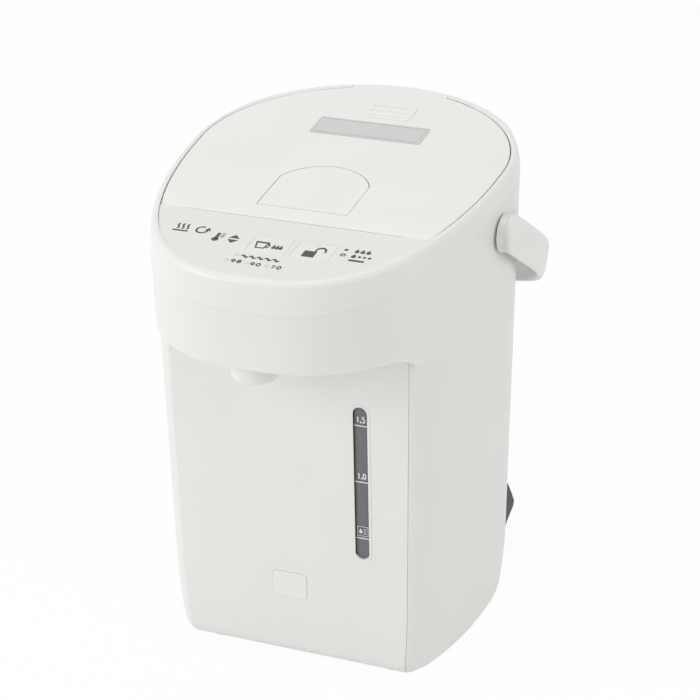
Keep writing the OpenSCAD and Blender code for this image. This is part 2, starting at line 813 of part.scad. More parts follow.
module inlet_hood() {
    color([0.03, 0.04, 0.05]) difference() {
        translate([inlet_x - inlet_w / 2, 0, 0]) rotate([90, 0, 90]) linear_extrude(inlet_w)
            polygon([
                [inlet_back_y, 3.5], [inlet_tip_y - 19, 3.5], [inlet_tip_y - 11, 12.5],
                [inlet_tip_y - 1, inlet_tip_z - 3], [inlet_tip_y, inlet_tip_z],
                [inlet_tip_y - 20, inlet_h - 2], [inlet_face_y, inlet_h], [inlet_back_y, inlet_h]]);
        // socket under the sloping roof
        translate([inlet_x - inlet_w / 2 + 3.5, 0, 0]) rotate([90, 0, 90])
            linear_extrude(inlet_w - 7)
                polygon([[inlet_face_y, 7], [inlet_face_y + 42, 7], [inlet_face_y + 42, -5],
                         [inlet_face_y, inlet_h - 6.5]]);
        // room behind the socket wall
        translate([inlet_x - inlet_w / 2 + 3, inlet_back_y - 1, 6])
            cube([inlet_w - 6, inlet_face_y - 3 - inlet_back_y + 1, inlet_h - 9]);
        for (s = [-1, 1]) translate([inlet_x + s * contact_gap / 2, inlet_back_y - 12, contact_z])
            rotate([-90, 0, 0]) cylinder(r = contact_r + 0.05, h = 60);
    }
}

module inlet_contacts() {
    color([0.8, 0.7, 0.4]) for (s = [-1, 1])
        translate([inlet_x + s * contact_gap / 2, inlet_face_y - 12, contact_z])
            rotate([-90, 0, 0]) cylinder(r = contact_r, h = 17);
}

module inlet_magnets() {
    color([0.7, 0.7, 0.72]) for (s = [-1, 1])
        translate([inlet_x + s * 17, inlet_face_y + magnet_plate[1] / 2, contact_z])
            cube(magnet_plate, center = true);
}

// ---------- Lid ----------
lid_gap = rim_w + 0.45;
lid_skirt = 12;
skin = 2;
lever_front_y = well_front_y + 11.7;
lever_axis_y = lever_front_y + 7.7;
lever_axis_drop = 2.4;
lever_x = 0.6;
lever_t = 2.2;
lever_pin_r = 1.2;
pocket_depth = 7.6;
pocket_floor = 1.2;
latch_drop = 9.7;
latch_w = 15;
latch_z = rim(well_front_y) - latch_drop;
vent_x = 3.4;
vent_y = hinge_y - 30.9;
vent_w = 29;
vent_l = 17;
plate_x = 2;
plate_y = hinge_y - 54.4;
plate_w = 62.5;
plate_l = 18.6;

// Round front edge of the lid, struck about the hinge axis so that it clears the panel
module swing_form(r) {
    translate([-far / 2, hinge_y, hinge_z]) rotate([0, 90, 0]) cylinder(r = r, h = far, $fn = 128);
}
swing_r = norm([hinge_y - (well_front_y + gap + 0.1), hinge_z - rim(well_front_y)]);

// Lever outline seen from above: straight front, arched rear
module lever_outline(grow) {
    arch_r = (lever_w / 2 + grow) * 1.08;
    intersection() {
        translate([-lever_w / 2 - grow, -grow]) square([lever_w + 2 * grow, lever_len + 2 * grow]);
        union() {
            translate([-far / 2, -10]) square([far, 10 + lever_len - arch_r * 0.8]);
            translate([0, lever_len + grow - arch_r]) circle(arch_r, $fn = 96);
        }
    }
}

// Square block on the top plane over the hinge, from y0 behind its axis to the rear
module hinge_block(half, y0, top, h) {
    on_top(0, hinge_y, top - h) translate([-half, y0, 0]) cube([2 * half, 40, h]);
}

tab_t = 1.75;
cove = [6.8, 9.1, 13.9];
wall_back = hinge_front + 2.2;

// Skin with its rim and front lip, before anything is let into it
module lid_skin() {
    difference() {
        intersection() {
            loft([
                along_rim(full_plan(lid_gap + 0.9), -lid_skirt),
                along_rim(full_plan(lid_gap), -0.9),
                along_rim(full_plan(lid_gap + 0.3), -0.3),
                along_rim(full_plan(lid_gap + 1.1), 0.05),
                along_rim(full_plan(lid_gap + 14), 0.6),
                along_rim(full_plan(lid_gap + 30), 0.8)]);
            swing_form(swing_r);
            translate([-far / 2, well_front_y + 0.2, 0]) cube([far, far, far]);
        }
        // hollow underside, closed by a wall in front of the hinge
        difference() {
            intersection() {
                loft([
                    along_rim(full_plan(lid_gap + skin + 0.9), -lid_skirt - 1),
                    along_rim(full_plan(lid_gap + skin + 0.2), -skin)]);
                swing_form(swing_r - skin);
            }
            hinge_block(hinge_half + 6, -wall_back - skin, 20, 60);
        }
        // coves that let the rear corners swing past the top ring
        for (s = [0, 1]) mirror([s, 0, 0]) translate([hinge_half - 0.5, hinge_y, hinge_z])
            rotate([0, 90, 0]) union() {
                cylinder(r1 = cove[0], r2 = cove[1], h = 8.5);
                translate([0, 0, 8.5]) cylinder(r1 = cove[1], r2 = cove[2], h = 10);
            }
    }
}

// Tab that carries the skin back over the hinge, flush with the top ring
module lid_tab() {
    intersection() {
        loft([
            along_rim(full_plan(0), -2.9),
            along_rim(full_plan(0.35), -1.6),
            along_rim(full_plan(1.2), -0.6),
            along_rim(full_plan(2.6), -0.15)]);
        hinge_block(hinge_half, -wall_back - 1, 20, 60);
    }
}

module lid_cover() {
    color([0.945, 0.93, 0.915]) difference() {
        union() {
            difference() {
                union() {
                    lid_skin();
                    lid_tab();
                    // pocket walls and floor under the lever
                    intersection() {
                        on_top(lever_x, lever_front_y, -pocket_depth - pocket_floor)
                            linear_extrude(pocket_depth + pocket_floor - 0.4) lever_outline(2.2);
                        swing_form(swing_r - 0.5);
                    }
                }
                hinge_block(hinge_half, -wall_back, -tab_t, 40);
            }
            // knuckle and its strap
            translate([0, hinge_y, hinge_z]) rotate([0, 90, 0])
                cylinder(r = knuckle_r, h = 2 * knuckle_half, center = true);
            translate([-knuckle_half, hinge_y - wall_back - 0.5, hinge_z - 1.3])
                cube([2 * knuckle_half, wall_back + 2, hinge_drop]);
        }
        on_top(lever_x, lever_front_y, -pocket_depth) linear_extrude(40) lever_outline(0.6);
        // slot in the pocket floor for the arm of the lever
        on_top(lever_x, lever_axis_y, -20) translate([-3, -2.6, 0]) cube([6, 9, 20]);
        // bore of the lever pin, in the pocket walls
        on_top(lever_x, lever_axis_y, -lever_axis_drop) rotate([0, 90, 0])
            cylinder(r = lever_pin_r, h = lever_w + 5, center = true);
        // slot of the latch in the front lip
        on_top(lever_x, well_front_y, -latch_drop) translate([-latch_w / 2 - 1, -3, -1.1])
            cube([latch_w + 2, 12, 2.2]);
        // opening and seat of the steam cap
        on_top(vent_x, vent_y, -1.2) linear_extrude(20) rounded(vent_w + 0.5, vent_l + 0.5, 2.4);
        on_top(vent_x, vent_y, -20) linear_extrude(40) rounded(vent_w - 4, vent_l - 4, 2);
        hinge_bore(hinge_pin_r + running);
    }
}

module hinge_bore(r) {
    translate([0, hinge_y, hinge_z]) rotate([0, 90, 0]) cylinder(r = r, h = far, center = true);
}

module lid_base() {
    color([0.86, 0.86, 0.85]) difference() {
        intersection() {
            loft([
                along_rim(full_plan(lid_gap + skin + 1.1), -lid_skirt - 0.4),
                along_rim(full_plan(lid_gap + skin + 1.1), -lid_skirt + 1.4)]);
            swing_form(swing_r - skin - 0.3);
        }
        translate([vent_x, vent_y - 9, 0]) cylinder(r = 4, h = far);
        translate([-far / 2, hinge_y - 12, 0]) cube([far, far, far]);
    }
}

inner_r = mouth_r - 3;
inner_bottom_z = vessel_top_z + 0.6;
module under_lid(dz) {
    translate([0, 0, rim(0) - lid_skirt - dz]) rotate([top_tilt, 0, 0])
        translate([-far / 2, -far / 2, -far]) cube([far, far, far]);
}

module inner_lid() {
    color([0.78, 0.79, 0.8]) difference() {
        intersection() {
            translate([0, plan_y, inner_bottom_z]) cylinder(r = inner_r, h = 60, $fn = 96);
            under_lid(0.8);
        }
        intersection() {
            translate([0, plan_y, inner_bottom_z + 1]) cylinder(r = inner_r - 1, h = 60, $fn = 96);
            under_lid(1.8);
        }
        translate([vent_x, vent_y - 9, 0]) cylinder(r = 4, h = far);
    }
}

module lid_gasket() {
    z = vessel_top_z + deck_t + seat;
    color([0.8, 0.8, 0.8]) translate([0, plan_y, z]) union() {
        tube_z(mouth_r + 3.2, inner_r + 0.02, 1.6, $fn = 96);
        tube_z(inner_r + 1.6, inner_r + 0.02, 4, $fn = 96);
    }
}

module steam_cap() {
    color([0.95, 0.94, 0.925]) difference() {
        on_top(vent_x, vent_y, -1.2) linear_extrude(2.2) rounded(vent_w, vent_l, 2.2);
        for (i = [-1:1]) on_top(vent_x, vent_y + i * 5.4, -5) linear_extrude(20) rounded(20, 1.7, 0.8);
    }
}

module data_plate() {
    color([0.82, 0.82, 0.82]) on_top(plate_x, plate_y, 0.85)
        linear_extrude(0.25) rounded(plate_w, plate_l, 0.8);
}

module lid_lever() {
    color([0.945, 0.93, 0.915]) difference() {
        union() {
            on_top(lever_x, lever_front_y, -lever_t + 0.7) linear_extrude(lever_t)
                lever_outline(0);
            for (s = [-1, 1]) on_top(lever_x + s * 17, lever_axis_y, -lever_axis_drop)
                rotate([0, 90, 0]) cylinder(r = 2.3, h = 8, center = true);
            on_top(lever_x, lever_axis_y, -lever_axis_drop) union() {
                translate([-2, -1.3, -7.8]) cube([4, 2.6, 8.2]);
                rotate([0, 90, 0]) cylinder(r = 2.3, h = 4, center = true);
            }
        }
        on_top(lever_x, lever_axis_y, -lever_axis_drop) rotate([0, 90, 0]) union() {
            cylinder(r = lever_pin_r + running, h = far, center = true);
            // groove over the spring
            translate([0, 0, spring_from - wire_r - 0.3])
                cylinder(r = lever_pin_r + 1.25, h = spring_turns * spring_pitch + 2 * wire_r + 0.6);
        }
    }
}

module lever_pin() {
    color([0.75, 0.75, 0.77]) on_top(lever_x, lever_axis_y, -lever_axis_drop) rotate([0, 90, 0])
        cylinder(r = lever_pin_r, h = lever_w + 3, center = true);
}

// Torsion spring coiled about the lever pin
spring_turns = 5;
spring_pitch = 1.3;
spring_from = 3.4;
spring_steps = 14;
spring_sides = 8;
wire_r = 0.4;
function coil_pt(i, j) =
    let (a = 360 * i / spring_steps, b = -360 * j / spring_sides,
         r = lever_pin_r + 0.1 + wire_r * (1 + cos(b)),
         x = spring_pitch * i / spring_steps + wire_r * sin(b))
    [r * cos(a), r * sin(a), x];
module lever_spring() {
    n = spring_turns * spring_steps;
    pts = [for (i = [0:n], j = [0:spring_sides - 1]) coil_pt(i, j)];
    last = n * spring_sides;
    color([0.6, 0.6, 0.62]) on_top(lever_x + spring_from, lever_axis_y, -lever_axis_drop)
        rotate([0, 90, 0]) polyhedron(pts, concat(
            [[for (j = [0:spring_sides - 1]) j]],
            [for (i = [0:n - 1]) each side_faces(pts, i, i + 1, spring_sides)],
            [[for (j = [spring_sides - 1:-1:0]) last + j]]));
}

module lid_latch() {
    nose = -17.8;
    tail = 4.8;
    color([0.72, 0.72, 0.74]) on_top(lever_x, lever_axis_y, -latch_drop) difference() {
        translate([-latch_w / 2, nose, -0.6]) cube([latch_w, tail - nose, 1.2]);
        translate([-2.6, -2.4, -5]) cube([5.2, 5.6, 10]);
    }
}

// ---------- Hinge ----------
module hinge_bracket() {
    floor_z = hinge_z - hinge_floor - hinge_floor_t;
    color([0.9, 0.89, 0.87]) difference() {
        union() {
            intersection() {
                loft([level(full_plan(0), floor_z - 10), level(full_plan(0), floor_z + 20)]);
                translate([-hinge_half, hinge_y - hinge_front, floor_z])
                    cube([2 * hinge_half, far, hinge_floor_t]);
            }
            for (s = [-1, 1]) translate([s * (knuckle_half + gap + ear_t / 2), hinge_y, hinge_z]) {
                rotate([0, 90, 0]) cylinder(r = knuckle_r, h = ear_t, center = true);
                translate([-ear_t / 2, -knuckle_r, -hinge_floor - 1])
                    cube([ear_t, 2 * knuckle_r - 0.5, hinge_floor + 1]);
            }
        }
        hinge_bore(hinge_pin_r);
    }
}

module hinge_pin() {
    color([0.75, 0.75, 0.77]) translate([0, hinge_y, hinge_z]) rotate([0, 90, 0])
        cylinder(r = hinge_pin_r, h = 2 * (knuckle_half + gap + ear_t), center = true);
}

// ---------- Handle ----------
bail_power = 3.3;
bail_len = (total_len / 2 - pivot_y - strap_w / 2 * sin(bail_angle)) / cos(bail_angle);
bail_steps = 32;

function bail_curve(a, l) = [for (i = [0:bail_steps]) let (t = 90 * i / bail_steps, e = 2 / bail_power)
    [a * pow(cos(t), e), l * pow(sin(t), e)]];
function mirrored(h) = concat(h, [for (i = [len(h) - 2:-1:0]) [-h[i][0], h[i][1]]]);

module bail_strap() {
    outer = mirrored(bail_curve(bail_half_w, bail_len));
    inner = mirrored(bail_curve(bail_half_w - strap_t, bail_len - strap_t));
    linear_extrude(strap_w, center = true) polygon(concat(outer,
        [for (i = [len(inner) - 1:-1:0]) inner[i]]));
}

module handle() {
    color([0.88, 0.87, 0.855]) difference() {
        translate([0, pivot_y, pivot_z]) rotate([-bail_angle, 0, 0]) union() {
            bail_strap();
            for (s = [-1, 1]) translate([s * (bail_half_w - strap_t / 2), 0, 0]) rotate([0, 90, 0])
                cylinder(r = strap_w / 2, h = strap_t, center = true);
        }
        pin_bore(pin_r + running);
    }
}

module handle_pins() {
    // the heads lie inside the well wall
    head_r = pin_r + 1.5;
    head_t = 2;
    inner = half_w(pivot_y - head_r, wall + seat + well_wall) * scale_at(pivot_z) - seat - head_t;
    color([0.8, 0.8, 0.79]) for (s = [0, 1]) mirror([s, 0, 0])
        translate([inner, pivot_y, pivot_z]) rotate([0, 90, 0]) union() {
            cylinder(r = pin_r, h = bail_half_w - 0.6 - inner);
            cylinder(r = head_r, h = head_t);
        }
}

outer_shell();
front_panel();
gauge_window();
badge();
top_ring();
lid_well();
control_frame();
control_panel();
dispense_key();
unlock_key();
control_board();
light_guides();
nozzle();
outlet_pipe();
valve_body();
valve_ball();
level_tube();
discharge_hose();
suction_hose();
pump_cover();
pump_housing();
impeller();
drive_magnet();
pump_motor();
inner_vessel();
vessel_seal();
insulation_wrap();
heater_plate();
temperature_sensor();
thermal_fuse();
vessel_bracket();
base_cover();
feet();
base_screws();
power_board();
inlet_hood();
inlet_contacts();
inlet_magnets();
hinge_bracket();
hinge_pin();
lid_cover();
lid_base();
inner_lid();
lid_gasket();
steam_cap();
data_plate();
lid_lever();
lever_pin();
lever_spring();
lid_latch();
handle();
handle_pins();
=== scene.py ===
import json
import math

import bmesh
import bpy
from mathutils import Matrix, Vector


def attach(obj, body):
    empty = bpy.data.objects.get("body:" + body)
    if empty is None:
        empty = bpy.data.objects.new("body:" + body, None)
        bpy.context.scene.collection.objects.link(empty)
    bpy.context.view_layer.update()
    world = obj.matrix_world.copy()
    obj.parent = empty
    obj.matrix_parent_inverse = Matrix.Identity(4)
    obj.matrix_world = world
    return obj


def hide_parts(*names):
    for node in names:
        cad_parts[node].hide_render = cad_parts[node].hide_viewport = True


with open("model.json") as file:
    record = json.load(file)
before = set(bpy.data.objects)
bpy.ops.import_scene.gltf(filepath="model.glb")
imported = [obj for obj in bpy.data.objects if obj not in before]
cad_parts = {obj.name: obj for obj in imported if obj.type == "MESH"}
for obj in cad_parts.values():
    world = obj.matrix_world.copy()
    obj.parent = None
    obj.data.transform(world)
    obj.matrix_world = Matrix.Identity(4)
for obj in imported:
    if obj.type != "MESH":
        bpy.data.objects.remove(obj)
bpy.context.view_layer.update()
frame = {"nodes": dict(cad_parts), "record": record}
nodes = frame["nodes"]


# ---- Outer shell ----------------------------------------------------------------
# The shell is one injection moulding in warm white polypropylene, with a very fine
# eroded grain. It is open at the front, where the front panel clips in.
def srgb(red, green, blue):
    """Turns a colour read off a swatch, 0 to 255, into the linear colour of a shader."""
    return [
        c / 12.92 if c <= 0.04045 else ((c + 0.055) / 1.055) ** 2.4
        for c in (red / 255, green / 255, blue / 255)
    ] + [1.0]


def noise(tree, scale, detail, stretch=None):
    """Noise over an object's own space, stretched along its axes if asked. Gives its value."""
    place = tree.nodes.new("ShaderNodeTexCoord").outputs["Object"]
    if stretch:
        stretched = tree.nodes.new("ShaderNodeMapping")
        stretched.inputs["Scale"].default_value = stretch
        tree.links.new(place, stretched.inputs["Vector"])
        place = stretched.outputs["Vector"]
    texture = tree.nodes.new("ShaderNodeTexNoise")
    texture.inputs["Scale"].default_value = scale
    texture.inputs["Detail"].default_value = detail
    tree.links.new(place, texture.inputs["Vector"])
    return texture.outputs["Fac"]


def tint(tree, value, low, high):
    """Gives the shader a colour that runs from low to high with a value."""
    mix = tree.nodes.new("ShaderNodeMix")
    mix.data_type = "RGBA"
    mix.inputs["A"].default_value = low
    mix.inputs["B"].default_value = high
    tree.links.new(value, mix.inputs["Factor"])
    tree.links.new(mix.outputs["Result"], tree.nodes["Principled BSDF"].inputs["Base Color"])


def shine(tree, value, low, high):
    """Gives the shader a roughness that runs from low to high with a value."""
    span = tree.nodes.new("ShaderNodeMapRange")
    span.inputs["To Min"].default_value = low
    span.inputs["To Max"].default_value = high
    tree.links.new(value, span.inputs["Value"])
    tree.links.new(span.outputs["Result"], tree.nodes["Principled BSDF"].inputs["Roughness"])


def plain_surface(name, grain, relief, coat=0.0, metal=0.0):
    """A material with the bump of its grain, without colour and shine. Gives the grain too."""
    material = bpy.data.materials.new(name)
    material.use_nodes = True
    tree = material.node_tree
    shader = tree.nodes["Principled BSDF"]
    shader.inputs["Coat Weight"].default_value = coat
    shader.inputs["Coat Roughness"].default_value = 0.12
    shader.inputs["Metallic"].default_value = metal
    grains = noise(tree, 1 / grain, 2)
    bump = tree.nodes.new("ShaderNodeBump")
    bump.inputs["Strength"].default_value = relief
    bump.inputs["Distance"].default_value = 0.0001
    tree.links.new(grains, bump.inputs["Height"])
    tree.links.new(bump.outputs["Normal"], shader.inputs["Normal"])
    return material, grains


CLOUD_SCALE = 22
CLOUD_DARK = 0.965
CLOUD_LIGHT = 1.02


def clouded(tree, colour):
    """Gives the shader an even colour with faint flow clouds."""
    tint(tree, noise(tree, CLOUD_SCALE, 3), [c * CLOUD_DARK for c in colour[:3]] + [1],
         [min(1, c * CLOUD_LIGHT) for c in colour[:3]] + [1])


def plastic_shine(tree, grains, roughness):
    """Lets the grain break the shine of plastic a little."""
    shine(tree, grains, max(0.02, roughness - 0.06), roughness + 0.06)


def moulded_plastic(name, colour, roughness, grain=0.0003, relief=0.03):
    """Moulded surface: an even colour with faint flow clouds, and a grain that breaks the shine."""
    material, grains = plain_surface(name, grain, relief)
    clouded(material.node_tree, colour)
    plastic_shine(material.node_tree, grains, roughness)
    return material


body_of = {node: body for body, members in frame["record"]["behaviour"]["bodies"].items()
           for node in members}


def add(name, data):
    """Puts an object into the scene."""
    piece = bpy.data.objects.new(name, data)
    bpy.context.scene.collection.objects.link(piece)
    return piece


def fitted(name, material):
    """Gives a built part its material."""
    for place in nodes[name].material_slots:
        place.material = material


CREASE = math.radians(32)
FLAT = math.radians(0.4)
SAME_POINT = 0.000002
SLIVER = 0.000001
SHADING_WEIGHT = 50


def moulding(name, material, edge=0.0, cuts=(), ease=None, only=None):
    """Stands for a built part as one smooth moulding, its sharp edges broken by edge metres.

    cuts are places along an axis where the skin gets a line of points. ease moves each
    point, and only tells by an edge's middle whether it is broken.
    """
    mesh = nodes[name].data.copy()
    work = bmesh.new()
    work.from_mesh(mesh)
    bmesh.ops.remove_doubles(work, verts=work.verts, dist=SAME_POINT)
    bmesh.ops.dissolve_degenerate(work, dist=SLIVER, edges=work.edges)
    bmesh.ops.dissolve_limit(work, angle_limit=FLAT, verts=work.verts, edges=work.edges)
    for axis, place in cuts:
        across = Vector((0, 1, 0)) if axis == "y" else Vector((0, 0, 1))
        bmesh.ops.bisect_plane(work, geom=work.verts[:] + work.edges[:] + work.faces[:],
                               plane_co=across * place, plane_no=across, dist=SLIVER)
    if ease:
        for point in work.verts:
            point.co = ease(point.co)
    for face in work.faces:
        face.smooth = True
        face.material_index = 0
    weight = work.edges.layers.float.new("bevel_weight_edge")
    for line in work.edges:
        line.smooth = line.is_manifold and line.calc_face_angle() < CREASE
        if only and not line.smooth and only((line.verts[0].co + line.verts[1].co) / 2):
            line[weight] = 1.0
    work.to_mesh(mesh)
    work.free()
    if "custom_normal" in mesh.attributes:
        mesh.attributes.remove(mesh.attributes["custom_normal"])
    mesh.materials.clear()
    mesh.materials.append(material)
    piece = add(name + "_moulding", mesh)
    if edge:
        broken = piece.modifiers.new("broken_edge", "BEVEL")
        broken.width = edge
        broken.segments = 3
        broken.limit_method = "WEIGHT" if only else "ANGLE"
        broken.angle_limit = CREASE
        broken.harden_normals = False
    even = piece.modifiers.new("even_shading", "WEIGHTED_NORMAL")
    even.keep_sharp = True
    even.weight = SHADING_WEIGHT
    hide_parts(name)
    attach(piece, body_of[name])


# the walls lean in by DRAFT from the height DRAFT_Z down to the table, towards DRAFT_Y
DRAFT = 0.053
DRAFT_Y = -0.021
DRAFT_Z = 0.25
# the nose's lower edge
NOSE_Z = 0.1974
# the round along the foot, and a front corner's middle, radius and fullness at DRAFT_Z;
# the corner takes its full shape over the height FADE below the nose
BOTTOM_Z = 0.0025
BOTTOM_R = 0.008
CORNER_X = 0.066
CORNER_Y = -0.0577
CORNER_R = 0.011
CORNER_POWER = 1.42
FADE = 0.012


def full_corner(co):
    """Draws the upright front corners in to their full, soft radius, less under the nose."""
    share = min(1, max(0, (NOSE_Z - co.z) / FADE))
    lean = 1 - DRAFT * (1 - co.z / DRAFT_Z)
    x, y = abs(co.x) / lean - CORNER_X, DRAFT_Y + (co.y - DRAFT_Y) / lean - CORNER_Y
    if x <= 0 or y >= 0 or share == 0:
        return co
    rise = min(1, max(0, (co.z - BOTTOM_Z) / BOTTOM_R))
    r = CORNER_R - BOTTOM_R * (1 - math.sqrt(1 - (1 - rise) ** 2))
    away = (x ** CORNER_POWER + (-y) ** CORNER_POWER) ** (1 / CORNER_POWER)
    if away <= r:
        return co
    x, y = CORNER_X + x * r / away, CORNER_Y + y * r / away
    full = Vector((math.copysign(x * lean, co.x), DRAFT_Y + (y - DRAFT_Y) * lean, co.z))
    return co.lerp(full, share * share * (3 - 2 * share))


# the walls come in by TUCK at the table, from the height TUCK_Z down
TUCK = 0.038
TUCK_Z = 0.045
tuck_cuts = [("z", TUCK_Z * k / 10) for k in range(1, 10)]


def tuck(co):
    """Draws the walls in at the foot, about the point the draft leans to."""
    lean = 1 - TUCK * max(0, 1 - co.z / TUCK_Z) ** 2
    return Vector((co.x * lean, DRAFT_Y + (co.y - DRAFT_Y) * lean, co.z))


# the edges to be broken lie ahead of and above these, the opening's within OPENING_X
FRONT_EDGE_Y = -0.0626
OPENING_X = 0.0672
FOOT_EDGE_Z = 0.004
AT_NOSE = 0.0002


def shell_edge(m):
    """Tells the nose's lower edge and the upright edges beside the front panel."""
    upright = m.y < FRONT_EDGE_Y and abs(m.x) < OPENING_X and FOOT_EDGE_Z < m.z < NOSE_Z
    return upright or abs(m.z - NOSE_Z) < AT_NOSE


warm_white = moulded_plastic("warm_white", srgb(233, 231, 227), 0.36)
moulding("outer_shell", warm_white, edge=0.0008, ease=lambda co: tuck(full_corner(co)),
         cuts=tuck_cuts + [("z", NOSE_Z - FADE * k / 6) for k in range(1, 7)], only=shell_edge)


# ---- Front panel, level window and badge ----------------------------------------
# The front panel is a separate white moulding. The window in it is smoked clear
# plastic with white level marks, and the small badge is a bare glued plate.

# the window's middle in millimetres; its two ends, and how far they come together
WINDOW_X = 39.7
WINDOW_Z = 117
WINDOW_REACH = 0.0068
UPPER_END = 0.155
UPPER_DOWN = 0.0014
LOWER_END = (0.06, 0.079)
LOWER_UP = 0.001
# the panel's sides lie beyond PANEL_SIDE, the edges to be broken beyond PANEL_EDGE_X
PANEL_SIDE = 0.055
PANEL_EDGE_X = 0.0575
PANEL_WIDER = 0.00017
PANEL_FORWARD = 0.0003
WINDOW_BACK = 0.0012


def flush(co):
    """Brings the panel forward until it is nearly flush, and its window's ends nearer together."""
    x, y, z = co
    if abs(x - WINDOW_X / 1000) < WINDOW_REACH:
        if z > UPPER_END:
            z -= UPPER_DOWN
        elif LOWER_END[0] < z < LOWER_END[1]:
            z += LOWER_UP
    if abs(x) > PANEL_SIDE and z < NOSE_Z:
        x += math.copysign(PANEL_WIDER, x)
    return tuck(Vector((x, y - PANEL_FORWARD, z)))


def sunk(co):
    """Sets the window back in its opening."""
    return flush(co) + Vector((0, WINDOW_BACK, 0))


def panel_edge(m):
    """Tells the panel's upright edges."""
    return m.y < FRONT_EDGE_Y and abs(m.x) > PANEL_EDGE_X and m.z > FOOT_EDGE_Z


panel_white = moulded_plastic("panel_white", srgb(232, 231, 227), 0.4)
moulding("front_panel", panel_white, edge=0.0011, ease=flush, cuts=tuck_cuts, only=panel_edge)
badge_white = moulded_plastic("badge_white", srgb(235, 234, 231), 0.3)
moulding("badge", badge_white, edge=0.00015, ease=flush)

# smoked plastic over the dark inside, streaked along its length by the tube behind it
smoked_window, grains = plain_surface("smoked_window", 0.002, 0.01, coat=0.4)
tint(smoked_window.node_tree, noise(smoked_window.node_tree, 1, 1, (900, 1, 14)),
     srgb(94, 93, 100), srgb(116, 115, 121))
plastic_shine(smoked_window.node_tree, grains, 0.16)
moulding("gauge_window", smoked_window, ease=sunk)

FRONT_Y = -0.0687
PANEL_IN = 0.0001


def front_place(x, z, out):
    """Place on the drafted front, x and z in millimetres, out millimetres in front of the panel."""
    tilt = math.atan(DRAFT * (DRAFT_Y - FRONT_Y) / DRAFT_Z)
    lean = 1 - DRAFT * (1 - z / 1000 / DRAFT_Z)
    y = DRAFT_Y + (FRONT_Y - DRAFT_Y) * lean + PANEL_IN - out / 1000
    return Matrix.Translation((x / 1000, y, z / 1000)) @ Matrix.Rotation(math.pi / 2 + tilt, 4, "X")


def turns(n):
    """Angles of n even steps around a circle."""
    return [2 * math.pi * i / n for i in range(n)]


def arc(x, y, rx, ry, first, last, steps=14):
    """Path along part of an oval, its angles in degrees."""
    return [(x + rx * math.cos(math.radians(a)), y + ry * math.sin(math.radians(a)))
            for a in [first + (last - first) * i / steps for i in range(steps + 1)]]


def oval(x, y, rx, ry):
    """Closed path around an oval."""
    return arc(x, y, rx, ry, 0, 360, 18)[:-1]


# each figure as paths in a square of side 1, and whether they close
FIGURES = {
    "0": [(oval(0.5, 0.5, 0.5, 0.5), True)],
    "1": [([(0.12, 0.78), (0.55, 1.0), (0.55, 0.0)], False)],
    "5": [([(0.92, 1.0), (0.16, 1.0), (0.1, 0.55)] + arc(0.47, 0.33, 0.5, 0.33, 128, -140, 18),
           False)],
    "7": [([(0.04, 1.0), (0.96, 1.0), (0.4, 0.0)], False)],
    "8": [(oval(0.5, 0.76, 0.4, 0.25), True), (oval(0.5, 0.26, 0.49, 0.27), True)],
    "9": [(oval(0.48, 0.69, 0.46, 0.31), True), ([(0.94, 0.69), (0.84, 0.3), (0.45, 0.0)], False)],
}


